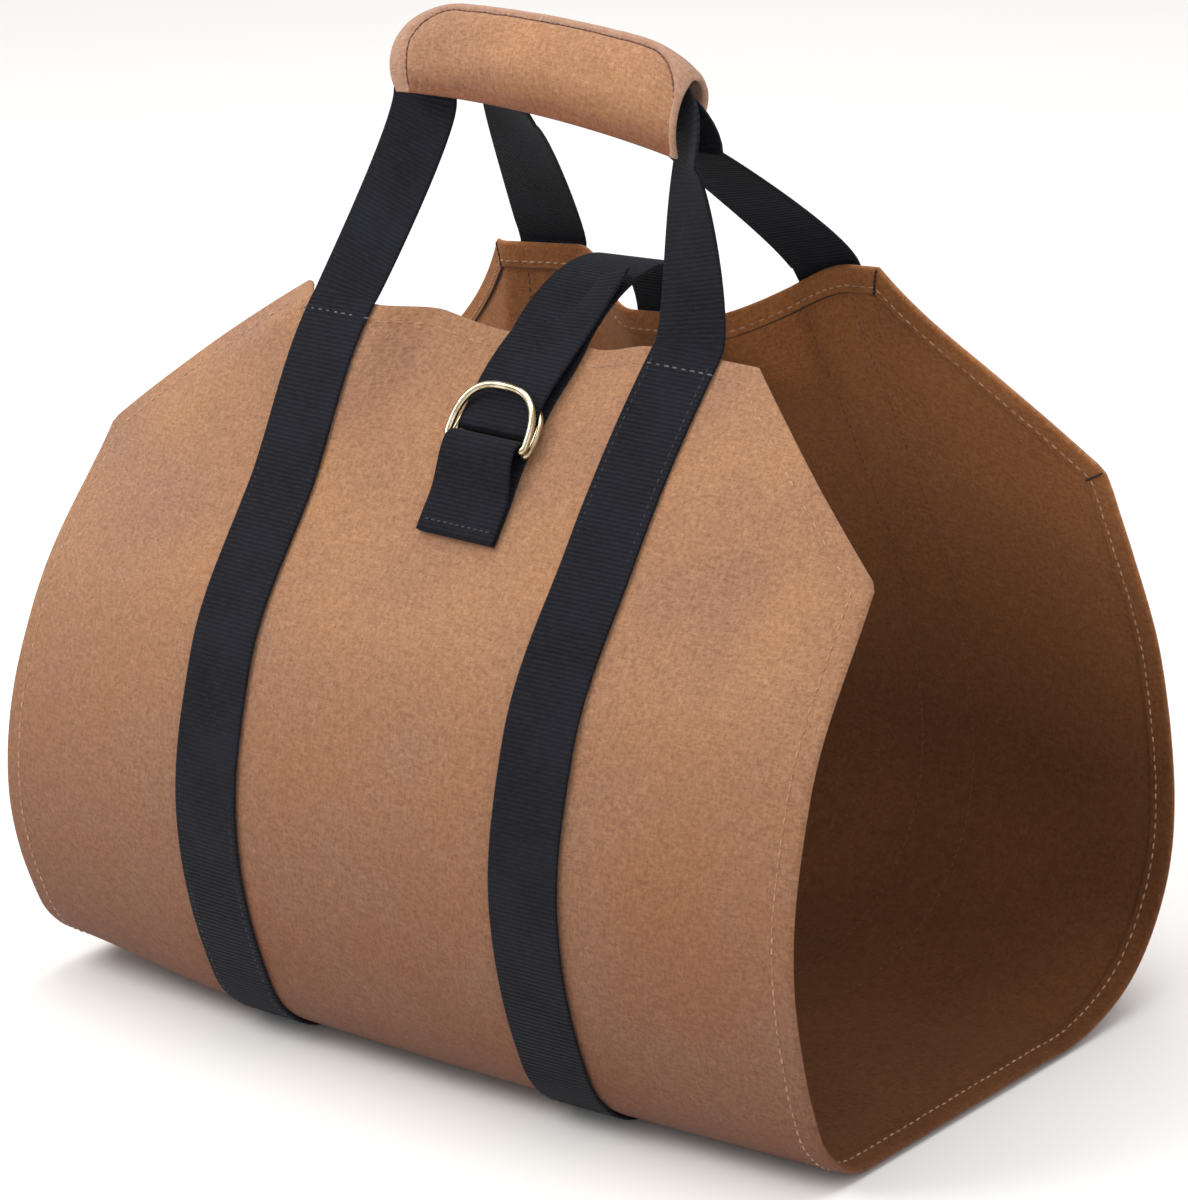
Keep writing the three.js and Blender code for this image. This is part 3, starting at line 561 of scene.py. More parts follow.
def cut_x(s, distance):
    """Half width of the line that runs at a distance inside the sheet's side and cut corner."""
    from_end = min(s, sheet_length - s)
    slope = (half_sheet - top_edge_width / 2) / corner_cut_length
    return min(half_sheet - distance, top_edge_width / 2 + slope * from_end - distance * math.hypot(1, slope))


def canvas_lines():
    rim = [0.0, 0.3, 0.9, 1.8, 4.2, 7.0, 10.0, 12.2, hem_width - 0.55, hem_width + 0.55, 17.0]
    steps = 222
    run = [lerp(rim[-1], sheet_length - rim[-1], k / steps) for k in range(1, steps)]
    return rim, rim + run + [sheet_length - d for d in reversed(rim)]


def ply_thickness(distance):
    return lerp(hem_thickness, canvas_thickness, smooth((distance - hem_width + 0.55) / 1.1))


def canvas_body():
    rim, rows = canvas_lines()
    middle_steps = 96
    outer, inner, uvs = [], [], []
    for s in rows:
        side = [cut_x(s, d) for d in rim]
        middle = [lerp(-side[-1], side[-1], k / middle_steps) for k in range(1, middle_steps)]
        across = [-x for x in side] + middle + side[::-1]
        outer_row, inner_row = [], []
        for x in across:
            distance = max(edge_distance(x, s), 0.0)
            fall = min(edge_round(distance, hem_thickness / 2), hem_thickness / 2 - 0.12)
            outer_row.append(cloth_point(x, s, -fall))
            inner_row.append(cloth_point(x, s, -ply_thickness(distance) + fall))
            uvs.append((x * MM, s * MM))
        outer.append(outer_row)
        inner.append(inner_row)
    points, faces, sides = closed_slab(outer, inner)
    flat = uvs * 2
    for index, face in enumerate(faces):
        if sides[index]:
            x = sum(flat[corner][0] for corner in face) / 4 / MM
            s = sum(flat[corner][1] for corner in face) / 4 / MM
            # Inner faces along the hem's inner edge get the painted shade line
            if abs(edge_distance(x, s) - hem_width) < 0.7:
                sides[index] = 2
    surfaces = [canvas_face, canvas_back_painted_light, hem_fold_shade]
    return face_out(mesh_piece("waxed_canvas_body", points, faces, flat, sides, surfaces))


canvas = canvas_body()
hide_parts("canvas_body")

# Webbing bands


def band_columns(width, thickness):
    """Shares across a band, closer at its rounded selvedges, with the fall of each."""
    rim = [0.0, 0.12, 0.4, 0.8, 1.6]
    side = [-0.5 + d / width for d in rim]
    shares = side + [lerp(side[-1], -side[-1], k / 7) for k in range(1, 7)] + [-c for c in reversed(side)]
    return [(c, min(edge_round((0.5 - abs(c)) * width, thickness / 2), thickness / 2 - 0.1)) for c in shares]


def band_piece(name, stations, width=webbing_width, thickness=webbing_thickness, ends_round=True):
    """Webbing swept along stations, each with its middle, direction across and face direction."""
    columns = band_columns(width, thickness)
    outer, inner, uvs = [], [], []
    length, before = 0.0, stations[0][0]
    for i, (middle, across, face, station_width) in enumerate(stations):
        length += (middle - before).length
        before = middle
        at_end = ends_round and i in (0, len(stations) - 1)
        outer_row, inner_row = [], []
        for share, fall in columns:
            fall = max(fall, thickness / 2 - 0.15) if at_end else fall
            place = middle + across * (share * station_width)
            outer_row.append(place + face * (thickness / 2 - fall))
            inner_row.append(place - face * (thickness / 2 - fall))
            uvs.append((share * width * MM, length * MM))
        outer.append(outer_row)
        inner.append(inner_row)
    points, faces, sides = closed_slab(outer, inner)
    return face_out(mesh_piece(name, points, faces, uvs * 2, None, [webbing]))


wrap_up = Vector((0, math.sin(wrap_lean), math.cos(wrap_lean)))
wrap_face = Vector((0, -math.cos(wrap_lean), math.sin(wrap_lean)))
loop_height = wrap_top_height - (wrap_padding + grip_room + grip_width / 2) * wrap_up.z


def wrap_point(x, up, out):
    """Point in the wrap's frame: up and out are measured from the loops' middle line."""
    share = x / (wrap_length / 2)
    droop = wrap_droop * share ** 2 + wrap_tilt * share
    return Vector((x, wrap_centre_y + middle_to_origin, loop_height - droop)) + wrap_up * up + wrap_face * out


base_middle = (section_lengths[5 * stretch_steps] + section_lengths[6 * stretch_steps]) / 2


def panel_stations(x, front):
    """Stations of one band up a panel, from the middle of the base to the top edge."""
    start = base_middle + (-0.15 if front else 0.15)
    end = 0.0 if front else sheet_length
    steps = 106
    offset = seat_gap + webbing_thickness / 2
    stations = []
    for k in range(steps + 1):
        s = lerp(start, end, k / steps)
        low = cloth_point(x - webbing_width / 2, s, offset)
        high = cloth_point(x + webbing_width / 2, s, offset)
        middle = low.lerp(high, 0.5)
        face = (cloth_point(x, s, 1) - cloth_point(x, s, 0)).normalized()
        crown = max((cloth_point(x + share * webbing_width, s, offset) - middle).dot(face)
                    for share in (-0.38, -0.25, -0.12, 0, 0.12, 0.25, 0.38))
        stations.append((middle + face * max(crown, 0), (high - low).normalized(), face, webbing_width))
    return stations


def strap_stations(panel, end, front):
    """The free strap between a panel's top edge and the wrap, turning most near the wrap."""
    start = panel[-1]
    leaving = (start[0] - panel[-2][0]).normalized() * panel_reach
    straight = (end[0] - start[0]).normalized()
    arriving = wrap_up * front_wrap_reach if front else straight * back_wrap_reach
    steps = 36
    stations = []
    for k in range(1, steps):
        t = k / steps
        middle = cubic(start[0], end[0], leaving, arriving, t)
        ahead = cubic(start[0], end[0], leaving, arriving, t + 0.01)
        along = (ahead - middle).normalized()
        across = start[1].lerp(end[1], t ** 1.5)
        across = (across - along * across.dot(along)).normalized()
        face = (across.cross(along) * (1 if front else -1)).normalized()
        stations.append((middle, across, face, webbing_width))
    return stations


def grip_turn(grip, side, level_out):
    """A quarter turn inside the wrap, from a strap's entry to the level run, where the webbing bunches up."""
    x, entry_out, twist = grip
    stations = []
    steps = 14
    for k in range(steps + 1):
        share = k / steps
        angle = math.pi / 2 * share
        settled = smooth(1.5 * share)
        across = Vector((math.cos(angle), 0, 0)) + wrap_up * (side * math.sin(angle))
        along = Vector((-side * math.sin(angle), 0, 0)) + wrap_up * math.cos(angle)
        turn = Matrix.Rotation(-twist * (1 - settled), 3, along)
        place = wrap_point(x - side * loop_bend_radius * (1 - math.cos(angle)),
                           loop_bend_radius * (math.sin(angle) - 1), lerp(entry_out, level_out, settled))
        stations.append((place, turn @ across, turn @ wrap_face, lerp(webbing_width, grip_width, settled)))
    return stations


def loop_stations(grips, out):
    left = grip_turn(grips["left"], -1, out)
    right = grip_turn(grips["right"], 1, out)
    run_start, run_end = grips["left"][0] + loop_bend_radius, grips["right"][0] - loop_bend_radius
    level = [(wrap_point(lerp(run_start, run_end, k / 12), 0, out), -wrap_up, wrap_face, grip_width)
             for k in range(1, 12)]
    return left + level + [(m, -a, f, w) for m, a, f, w in reversed(right)]


def webbing_loop(front):
    side = 1 if front else -1
    left_panel = panel_stations(-band_centre, front)
    right_panel = panel_stations(band_centre, front)
    out = grip_out + side * (webbing_thickness + seat_gap) / 2
    loop = [(m, a, f * side, w) for m, a, f, w in loop_stations(FRONT_GRIP if front else BACK_GRIP, out)]
    left = strap_stations(left_panel, loop[0], front)
    end = (loop[-1][0], -loop[-1][1], loop[-1][2], loop[-1][3])
    right = strap_stations(right_panel, end, front)
    down = [(m, -a, f, w) for m, a, f, w in reversed(right_panel + right)]
    return left_panel + left + loop + down


front_loop = webbing_loop(True)
back_loop = webbing_loop(False)
front_webbing = band_piece("front_webbing_loop", front_loop)
back_webbing = band_piece("back_webbing_loop", back_loop)
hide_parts("front_webbing")
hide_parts("back_webbing")

# Handle wrap: padded canvas sleeve with a sewn border

# Section of the sleeve's outer face from its front lower edge over the top to its back lower edge:
# share of half its depth toward the front, share of its height above the front lower edge
WRAP_SECTION = [(1.0, 0.0), (1.04, 0.2), (0.96, 0.43), (0.7, 0.68), (0.3, 0.88), (-0.22, 1.0), (-0.75, 0.92),
                (-1.05, 0.73), (-1.1, 0.53), (-0.98, 0.36)]


def smooth_line(points, steps):
    """Curve through points with even tangents, cut into even steps by length."""
    dense = []
    count = len(points)
    for i in range(count - 1):
        leaving = (points[i + 1] - points[max(i - 1, 0)]) / (2 if i else 1)
        arriving = (points[min(i + 2, count - 1)] - points[i]) / (2 if i < count - 2 else 1)
        dense += [cubic(points[i], points[i + 1], leaving, arriving, k / 20) for k in range(20)]
    dense.append(points[-1])
    lengths = walked(dense)
    line = []
    for k in range(steps + 1):
        i, share = found(lengths, lengths[-1] * k / steps)
        line.append(dense[i].lerp(dense[i + 1], share))
    return line, lengths[-1]


wrap_steps = 96
wrap_outline, wrap_girth = smooth_line([Vector((out * wrap_depth / 2, up * wrap_height)) for out, up in WRAP_SECTION],
                                       wrap_steps)
wrap_ridge = wrap_girth * max(range(wrap_steps + 1), key=lambda i: wrap_outline[i].y) / wrap_steps
# Corner radius of the seam round the front face, and how far below the ridge it runs
seam_radius = 20.0
seam_top = wrap_ridge - 3.5


def wrap_seam_distance(x, length):
    """Distance on the sleeve inside the seam round its front face. Beyond the seam, on the border, it is below zero."""
    p = wrap_length / 2 - abs(x) - wrap_border["left" if x < 0 else "right"]
    q = seam_top - length
    if p < seam_radius and q < seam_radius:
        return seam_radius - math.hypot(seam_radius - p, seam_radius - q)
    return min(p, q)


def wrap_swell(x, length):
    """Padding swells inside the seam, the seam sits in a groove and the border lies flat."""
    seam = wrap_seam_distance(x, length)
    inside = smooth(seam / 12)
    groove = -1.5 * math.exp(-(seam / 1.3) ** 2)
    border = 0.7 * math.exp(-((seam + 4) / 3.0) ** 2)
    pucker = 0.45 * noise.noise(Vector((x / 5.5, length / 5.5, 2.2))) * math.exp(-abs(seam) / 5.0)
    lumps = noise.noise(Vector((x / 26, length / 16, 8.4))) * 2.2 * inside
    sag = -1.6 * (1 - smooth(length / 11)) * inside
    tuck_line = x + wrap_length / 2 - 13 - length * 0.35
    tuck = -1.6 * math.exp(-(tuck_line / 2.2) ** 2) * (1 - smooth(length / 13))
    return 1.1 * inside + groove + border + pucker + lumps + tuck + sag - 0.9


def sleeve_point(x, length, depth):
    """Point on the wrap at a length round its section, moved outward by depth from its plain face."""
    i = min(max(int(length / wrap_girth * wrap_steps), 0), wrap_steps - 1)
    share = length / wrap_girth * wrap_steps - i
    point = wrap_outline[i].lerp(wrap_outline[i + 1], share)
    along = (wrap_outline[min(i + 2, wrap_steps)] - wrap_outline[max(i - 1, 0)]).normalized()
    point = point + Vector((along.y, -along.x)) * depth
    end = "left" if x < 0 else "right"
    past = max(abs(x) - wrap_length / 2 + wrap_corner_length, 0.0) / wrap_corner_length
    drop = wrap_corner_drop[end] * (1 - math.sqrt(1 - min(past, wrap_corner_share) ** 2))
    squeeze = 1 - drop / wrap_height + wrap_growth * x / (wrap_length / 2)
    turn = length / wrap_girth
    bulge = wrap_end_bulge[end] * past ** 2 * math.sin(math.pi * turn) * math.copysign(1, x)
    lower_edge = grip_width / 2 + grip_room + wrap_padding - wrap_height
    return wrap_point(x + bulge - wrap_back_shift * turn, lower_edge + point.y * squeeze, point.x)


def handle_wrap():
    half_length = wrap_length / 2
    rim = [0.0, 0.4, 1.1, 2.0, 3.2]
    even = [lerp(-half_length + rim[-1], half_length - rim[-1], k / 118) for k in range(1, 118)]
    xs = [-half_length + d for d in rim] + even + [half_length - d for d in reversed(rim)]
    lengths = [d for d in rim] + [lerp(rim[-1], wrap_girth - rim[-1], k / 92) for k in range(1, 92)]
    lengths += [wrap_girth - d for d in reversed(rim)]
    outer, inner, uvs = [], [], []
    for length in lengths:
        outer_row, inner_row = [], []
        for x in xs:
            rim_distance = min(half_length - abs(x), length, wrap_girth - length)
            fall = min(edge_round(rim_distance, wrap_padding / 2), wrap_padding / 2 - 0.2)
            swell = wrap_swell(x, length) * smooth(rim_distance / 5)
            outer_row.append(sleeve_point(x, length, swell - fall))
            inner_row.append(sleeve_point(x, length, fall - wrap_padding))
            uvs.append((x * MM, length * MM))
        outer.append(outer_row)
        inner.append(inner_row)
    points, faces, sides = closed_slab(outer, inner)
    flat = uvs * 2
    # Faces beyond the seam, on the border, take the lighter copy of the canvas: painted light
    for index, face in enumerate(faces):
        x = sum(flat[corner][0] for corner in face) / 4 / MM
        length = sum(flat[corner][1] for corner in face) / 4 / MM
        sides[index] = int(wrap_seam_distance(x, length) < 0)
    return face_out(mesh_piece("padded_handle_wrap", points, faces, flat, sides, [wrap_canvas, wrap_border_painted_light]))


# Painted shade: the sleeve is drawn darker toward its lower rims
wrap_canvas = waxed_canvas("padded waxed canvas", "#B98254", "#9C6E52", "#CF9F7A", "#694530", "#82593F",
                           painted_shade=("#B08266", wrap_girth / 2, wrap_girth / 2, wrap_girth / 2 - 24))
wrap = handle_wrap()
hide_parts("handle_wrap")

# Closure: tab, two D rings and the strap

incoming_offset = closure_seat_gap + webbing_thickness / 2
lower_ring_offset = incoming_offset + webbing_thickness / 2 + 2 * seat_gap + ring_wire / 2
return_offset = lower_ring_offset + ring_wire / 2 + 1.5 * seat_gap + webbing_thickness / 2
upper_ring_offset = lower_ring_offset + ring_wire + seat_gap
fold_centre = (lower_ring_offset + upper_ring_offset) / 2
fold_radius = fold_centre - seat_gap - webbing_thickness / 2
ring_bar_distance = tab_top_distance + fold_radius + webbing_thickness / 2
ring_height = ring_inner_height + ring_wire
halfway_lift = return_offset + webbing_thickness / 2 + 2 * seat_gap + ring_wire / 2 - upper_ring_offset


def closure_point(s, offset, x=closure_x):
    return cloth_point(x, s, offset, 0.0)


def closure_across(s):
    half = closure_width / 2
    return (closure_point(s, 0, closure_x + half) - closure_point(s, 0, closure_x - half)).normalized()


def closure_width_at(s):
    """Width of the closure's webbing at a length along the cloth, drawn in where it passes the rings."""
    away = abs(s - ring_bar_distance + ring_height / 2) - ring_height / 2
    return lerp(closure_pinch, closure_width, smooth(away / pinch_reach))


def path_stations(middles, acrosses, widths):
    stations = []
    for i, middle in enumerate(middles):
        along = (middles[min(i + 1, len(middles) - 1)] - middles[max(i - 1, 0)]).normalized()
        across = (acrosses[i] - along * acrosses[i].dot(along)).normalized()
        stations.append((middle, across, along.cross(across).normalized(), widths[i]))
    return stations


def tab_path():
    """Length along the cloth and offset of the tab's middle line: up the panel, round the bars and down again."""
    lower = seat_gap + webbing_thickness / 2
    bottom = tab_top_distance + tab_length
    path = [(lerp(bottom, ring_bar_distance, k / 14), lower) for k in range(15)]
    for k in range(1, 20):
        angle = math.pi * k / 20
        path.append((ring_bar_distance - fold_radius * math.sin(angle), fold_centre - fold_radius * math.cos(angle)))
    upper = lower + webbing_thickness + seat_gap
    for k in range(25):
        t = k / 24
        share = 1 - smooth(min(t / 0.62, 1.0))
        path.append((lerp(ring_bar_distance, bottom, t), lerp(upper, fold_centre + fold_radius, share)))
    return path


tab_line = tab_path()
tab_stations = path_stations([closure_point(s, o) for s, o in tab_line], [closure_across(s) for s, o in tab_line],
                             [closure_width_at(s) for s, o in tab_line])
tab = band_piece("ring_tab_webbing", tab_stations, closure_width)
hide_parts("ring_tab")


def ring_frame():
    origin = closure_point(ring_bar_distance, 0)
    across = closure_across(ring_bar_distance)
    up = closure_point(ring_bar_distance - ring_height, 0) - origin
    up = (up - across * up.dot(across)).normalized()
    return origin, across, up, across.cross(up).normalized()


def d_outline():
    """Middle line of the wire as across and up: a rounded arch on a straight bar."""
    half = (ring_inner_width + ring_wire) / 2
    power = 2 / ring_squareness
    arch = []
    for k in range(97):
        angle = math.pi * k / 96
        x = half * math.copysign(abs(math.cos(angle)) ** power, math.cos(angle))
        arch.append(Vector((x, ring_corner + (ring_height - ring_corner) * math.sin(angle) ** power)))
    left = [Vector((-half + ring_corner * (1 - math.cos(a)), ring_corner * (1 - math.sin(a))))
            for a in (math.pi / 16 * k for k in range(1, 9))]
    closed = arch + left + [Vector((-point.x, point.y)) for point in reversed(left)]
    dense = closed + [closed[0]]
    return dense, walked(dense)


def outline_at(outline, share):
    dense, lengths = outline
    i, t = found(lengths, lengths[-1] * (share % 1.0))
    return dense[i].lerp(dense[i + 1], t)


def d_ring(name, node, bar_offset, lift):
    """Wire ring bent to a D from a torus: the torus gives the wire's round section all the way."""
    bpy.ops.object.select_all(action="DESELECT")
    wire = ring_wire / 2
    bpy.ops.mesh.primitive_torus_add(major_segments=128, minor_segments=20, major_radius=10 * wire, minor_radius=wire)
    ring = bpy.context.object
    ring.name = name
    outline = d_outline()
    origin, across, up, out = ring_frame()
    for vertex in ring.data.vertices:
        turn = math.atan2(vertex.co.y, vertex.co.x) / (2 * math.pi)
        beside = math.hypot(vertex.co.x, vertex.co.y) - 10 * wire
        place = outline_at(outline, turn)
        along = (outline_at(outline, turn + 0.004) - outline_at(outline, turn - 0.004)).normalized()
        place = place + Vector((along.y, -along.x)) * beside
        height = bar_offset + lift * place.y / (ring_height / 2) + vertex.co.z
        vertex.co = (origin + across * place.x + up * place.y + out * height) * MM
    ring.data.materials.clear()
    ring.data.materials.append(brass)
    ring.data.polygons.foreach_set("use_smooth", [True] * len(ring.data.polygons))
    ring.data.update()
    face_out(ring)
    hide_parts(node)
    return ring


lower_ring = d_ring("lower_brass_ring", "lower_d_ring", lower_ring_offset, 0.0)
upper_ring = d_ring("upper_brass_ring", "upper_d_ring", upper_ring_offset, halfway_lift)


def closure_path():
    """Middles, directions across and widths of the closure strap, from its sewn end to its free end."""
    places = []

    def on_cloth(s, offset):
        places.append((closure_point(s, offset), closure_across(s), closure_width_at(s)))

    for k in range(21):
        on_cloth(lerp(sheet_length - strap_sewn_length, sheet_length, k / 20), incoming_offset)
    back_edge = places[-1][0]
    leaving = (back_edge - places[-2][0]).normalized()
    front_edge = closure_point(0, incoming_offset)
    arriving = (closure_point(hem_width, incoming_offset) - front_edge).normalized()
    rise = strap_arch_height - (back_edge.z + front_edge.z) / 2
    reach = 8 * rise / (leaving.z - arriving.z)
    for k in range(1, 40):
        t = k / 40
        across = closure_across(sheet_length).lerp(closure_across(0), t)
        places.append((cubic(back_edge, front_edge, leaving * reach, arriving * reach, t), across, closure_width))
    roll_distance = ring_bar_distance - ring_height * roll_height_share
    for k in range(16):
        on_cloth(lerp(0, roll_distance, k / 15), incoming_offset)
    roll_centre = (incoming_offset + return_offset) / 2
    roll_radius = return_offset - roll_centre
    for k in range(1, 20):
        angle = math.pi * k / 20
        on_cloth(roll_distance + roll_radius * math.sin(angle), roll_centre - roll_radius * math.cos(angle))
    leave_distance = ring_bar_distance - ring_height - ring_wire
    for k in range(9):
        on_cloth(lerp(roll_distance, leave_distance, k / 8), return_offset)
    start, start_across, start_width = places[-1]
    away = (start - places[-2][0]).normalized() * free_end_leaving
    tip = Vector((closure_x, start.y, start.z)) + free_end_travel
    for k in range(1, 33):
        t = k / 32
        places.append((cubic(start, tip, away, free_end_heading, t), start_across.lerp(free_end_across, t * t),
                       lerp(start_width, closure_width, smooth(2 * t))))
    return zip(*places)


closure_stations = path_stations(*closure_path())
closure = band_piece("closure_webbing_strap", closure_stations, closure_width)
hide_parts("closure_strap")

# Stitching: each stitch is a short thread that dips into the cloth at both ends


def stitch_frames(samples, pitch, skip=lambda p: False):
    """Middle, direction and outward side of each stitch along sampled points with their outward sides."""
    frames = []
    lengths = walked([p for p, _ in samples])
    count = max(int(lengths[-1] / pitch), 1)
    for k in range(count):
        i, t = found(lengths, (k + 0.5) * lengths[-1] / count)
        (p, p_out), (q, q_out) = samples[i], samples[i + 1]
        middle = p.lerp(q, t)
        if not skip(middle):
            frames.append((middle, (q - p).normalized(), p_out.lerp(q_out, t).normalized()))
    return frames


def stitching(name, frames, material, length=3.9, width=0.95, sides=6):
    """One mesh of stitches, each a thread thinner and lower toward its ends."""
    stations = [(-0.5, 0.35, -0.42), (-0.32, 0.8, -0.08), (-0.12, 1.0, 0.12), (0.12, 1.0, 0.12), (0.32, 0.8, -0.08),
                (0.5, 0.35, -0.42)]
    points, faces = [], []
    for n, (middle, along, out) in enumerate(frames):
        out = (out - along * out.dot(along)).normalized()
        side = along.cross(out)
        skew = side * (0.12 * math.sin(n * 2.4))
        first = len(points)
        for share, girth, height in stations:
            centre = middle + along * (share * length) + out * height * width + skew * share
            for k in range(sides):
                angle = 2 * math.pi * k / sides
                radius = girth * width / 2
                points.append(centre + side * (math.cos(angle) * radius) + out * (math.sin(angle) * radius))
        for i in range(len(stations) - 1):
            for k in range(sides):
                a, b = first + i * sides + k, first + i * sides + (k + 1) % sides
                faces.append((a, b, b + sides, a + sides))
        faces.append(tuple(first + k for k in reversed(range(sides))))
        faces.append(tuple(first + (len(stations) - 1) * sides + k for k in range(sides)))
    made = mesh_piece(name, points, faces, None, None, [material])
    face_out(made)
    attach(made, "root")
    return made


def surface_sample(x, s, offset, side=1):
    out = (cloth_point(x, s, 1) - cloth_point(x, s, 0)).normalized()
    return cloth_point(x, s, offset), out * side


def hem_line(offset, side):
    """Samples of the stitch line round the border, at its distance inside the edge."""
    d = hem_stitch_distance
    top_x = cut_x(d, d)
    corner_s = corner_cut_length + d * (math.hypot(1, cut_slope) - 1) / cut_slope
    lines = []
    for end in (0, 1):
        at = (lambda s: s) if end == 0 else (lambda s: sheet_length - s)
        lines.append([surface_sample(lerp(-top_x, top_x, k / 120), at(d), offset, side) for k in range(121)])
        for sign in (-1, 1):
            lines.append([surface_sample(sign * cut_x(s, d), at(s), offset, side)
                          for s in (lerp(d, corner_s, k / 60) for k in range(61))])
    for sign in (-1, 1):
        lines.append([surface_sample(sign * (half_sheet - d), lerp(corner_s, sheet_length - corner_s, k / 340), offset,
                                     side) for k in range(341)])
    return lines


hem_stitch_distance = 10.0
cut_slope = (half_sheet - top_edge_width / 2) / corner_cut_length
stitch_pitch = 5.0


def under_band(middle):
    return abs(abs(middle.x) - band_centre) < webbing_width / 2 + 1


def under_closure(middle):
    return abs(middle.x - closure_x) < closure_width / 2 + 1.5 and middle.z > 300


outer_hem, inner_hem, over_bands = [], [], []
for line in hem_line(0.0, 1):
    flat_end = abs(line[0][0].x - line[-1][0].x) > 200
    hidden = (lambda p: under_band(p) or under_closure(p)) if flat_end else (lambda p: False)
    outer_hem += stitch_frames(line, stitch_pitch, hidden)
for line in hem_line(-hem_thickness, -1):
    inner_hem += stitch_frames(line, stitch_pitch)
for line in hem_line(seat_gap + webbing_thickness, 1):
    if abs(line[0][0].x - line[-1][0].x) > 200:
        over_bands += stitch_frames(line, stitch_pitch, lambda p: not under_band(p))
stitching("hem_stitching", outer_hem + inner_hem, tan_thread)
stitching("top_row_over_webbing", over_bands, grey_thread)


def band_rows():
    """Rows along both edges of each band, outside on the webbing and inside on the canvas."""
    outside, inside = [], []
    for x in (-band_centre, band_centre):
        for edge in (-1, 1):
            at = x + edge * (webbing_width / 2 - 3.5)
            for outer in (True, False):
                offset = seat_gap + webbing_thickness if outer else -canvas_thickness
                reach = 6.0 if outer else hem_width + 2
                line = [surface_sample(at, lerp(reach, sheet_length - reach, k / 300), offset, 1 if outer else -1)
                        for k in range(301)]
                (outside if outer else inside).extend(stitch_frames(line, 4.4))
    return outside, inside


outside_rows, inside_rows = band_rows()
stitching("webbing_edge_stitching", outside_rows, black_thread, 3.3, 0.7, 5)
stitching("webbing_edge_stitching_inside", inside_rows, seam_thread, 3.3, 0.7, 5)


def row_across(stations, index, inset=3.0, lift=webbing_thickness / 2):
    middle, across, face, width = stations[index]
    steps = 12
    return [(middle + across * lerp(-width / 2 + inset, width / 2 - inset, k / steps) + face * lift, face)
            for k in range(steps + 1)]


def rows_near(stations, distance, from_end=True):
    """Station index at a distance along the band from one of its ends."""
    order = list(range(len(stations)))
    if from_end:
        order.reverse()
    walked, before = 0.0, stations[order[0]][0]
    for index in order:
        walked += (stations[index][0] - before).length
        before = stations[index][0]
        if walked >= distance:
            return index
    return order[-1]


closure_rows = []
for stations, distance, from_end in ((tab_stations, 5, True), (closure_stations, 12, True),
                                     (closure_stations, 5, False), (closure_stations, 52, False)):
    closure_rows += stitch_frames(row_across(stations, rows_near(stations, distance, from_end)), 3.6)
stitching("closure_stitching", closure_rows, black_thread, 2.9, 0.75)


def wrap_seam_line():
    """Samples of the seam round the wrap's front face, from its lower left over the top to its lower right."""
    left, right = (wrap_length / 2 - wrap_border[end] for end in ("left", "right"))
    corner = [(-left, lerp(1.0, seam_top - seam_radius, k / 24)) for k in range(25)]
    corner += [(-left + seam_radius * (1 - math.cos(a)), seam_top - seam_radius * (1 - math.sin(a)))
               for a in (math.pi / 2 * k / 12 for k in range(1, 12))]
    line = corner + [(lerp(-left + seam_radius, right - seam_radius, k / 60), seam_top) for k in range(61)]
    line += [(right - left - x, length) for x, length in reversed(corner)]
    samples = []
    for x, length in line:
        place = sleeve_point(x, length, wrap_swell(x, length) + 0.3)
        samples.append((place, (sleeve_point(x, length, 1) - place).normalized()))
    return samples


stitching("wrap_seam_stitching", stitch_frames(wrap_seam_line(), 3.2), seam_thread, 4.3, 0.95, 5)


def mitre_fold_shade():
    """Painted shade lines along the folds of the hem across its corners on the inner face, from the outer corner to the
    inner one.
    """
    frames = []
    for at in ((lambda s: s), (lambda s: sheet_length - s)):
        for sign in (-1, 1):
            top = [(cut_x(d, d), d) for d in (lerp(1.0, hem_width, k / 8) for k in range(9))]
            side = [(half_sheet - d, corner_cut_length + d * (math.hypot(1, cut_slope) - 1) / cut_slope)
                    for d in (lerp(1.0, hem_width, k / 8) for k in range(9))]
            for line in (top, side):
                samples = [surface_sample(sign * x, at(s), -hem_thickness, -1) for x, s in line]
                frames += stitch_frames(samples, 2.2)
    return frames


# Thin dark threads of painted shade along the hem's corner folds
stitching("hem_corner_fold_shade", mitre_fold_shade(), hem_fold_shade, 3.4, 1.3, 5)

for piece, slot in ((canvas, "canvas"), (wrap, "wrap_canvas"), (front_webbing, "webbing"), (back_webbing, "webbing"),
                    (tab, "webbing"), (closure, "webbing"), (lower_ring, "ring_wire"), (upper_ring, "ring_wire")):
    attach(piece, "root")

# Studio


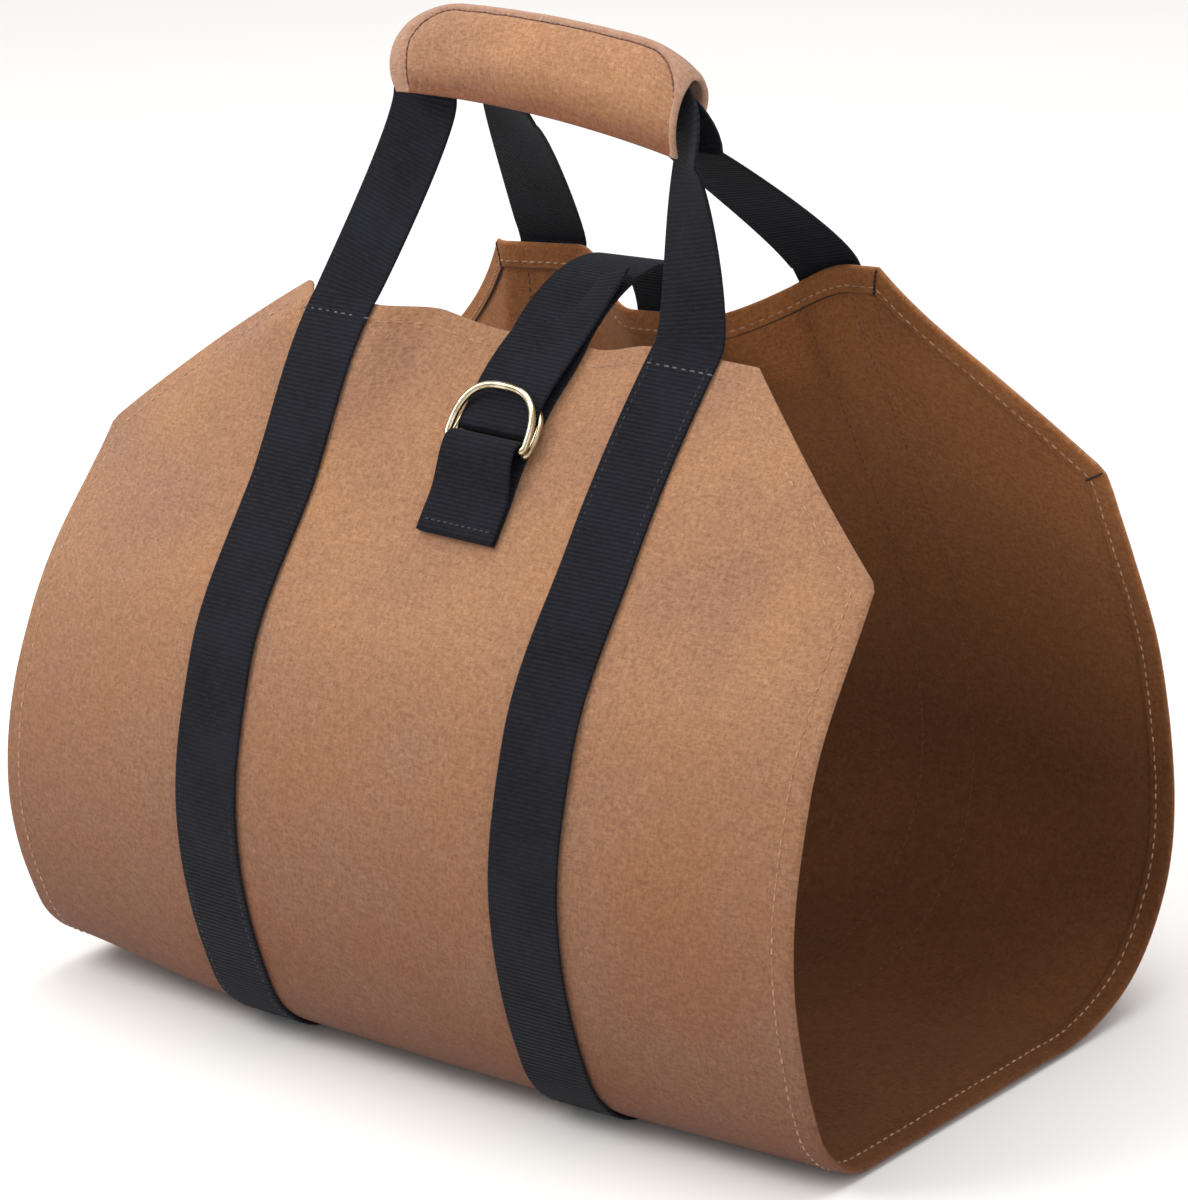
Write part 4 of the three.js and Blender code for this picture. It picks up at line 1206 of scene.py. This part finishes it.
def add_floor():
    bpy.ops.object.select_all(action="DESELECT")
    bpy.ops.mesh.primitive_grid_add(x_subdivisions=4, y_subdivisions=4, size=14)
    floor = bpy.context.object
    floor.name = "studio_floor"
    floor.data.materials.append(painted_board())


def add_light(name, size, power, place, target=(0, 0, 0.2), tint=(1, 1, 1)):
    data = bpy.data.lights.new(name, "AREA")
    data.shape = "SQUARE"
    data.size = size
    data.energy = power
    data.color = tint
    lamp = bpy.data.objects.new(name, data)
    lamp.location = place
    lamp.rotation_euler = (Vector(target) - Vector(place)).to_track_quat("-Z", "Y").to_euler()
    bpy.context.scene.collection.objects.link(lamp)


def add_camera():
    azimuth, elevation, roll = (math.radians(a) for a in (41.204, 20.333, 3.488))
    forward = Vector((-math.sin(azimuth) * math.cos(elevation), math.cos(azimuth) * math.cos(elevation),
                      -math.sin(elevation)))
    right = Vector((math.cos(azimuth), math.sin(azimuth), 0))
    down = forward.cross(right)
    turned_right = right * math.cos(roll) + down * math.sin(roll)
    turned_down = down * math.cos(roll) - right * math.sin(roll)
    data = bpy.data.cameras.new("photo_camera")
    data.sensor_fit = "HORIZONTAL"
    data.sensor_width = 36
    data.lens = 6129.2 / 1188 * 36
    data.clip_end = 100
    camera = bpy.data.objects.new("photo_camera", data)
    axes = Matrix((turned_right, -turned_down, -forward)).transposed().to_4x4()
    camera.matrix_world = Matrix.Translation((1.83586, -2.083554, 1.23033)) @ axes
    bpy.context.scene.collection.objects.link(camera)
    bpy.context.scene.camera = camera


add_floor()
add_light("key softbox", 1.4, 38, (-1.2, -1.3, 2.1), tint=(1.0, 0.98, 0.95))
add_light("right fill", 1.8, 9, (2.2, -1.2, 1.1))
add_light("overhead", 2.0, 34, (0.1, 0.3, 2.4))
add_camera()

world = bpy.data.worlds.new("white surround")
world.use_nodes = True
world.node_tree.nodes["Background"].inputs[0].default_value = (1, 1, 1, 1)
world.node_tree.nodes["Background"].inputs[1].default_value = 0.6
bpy.context.scene.world = world
bpy.context.scene.view_settings.view_transform = "Standard"
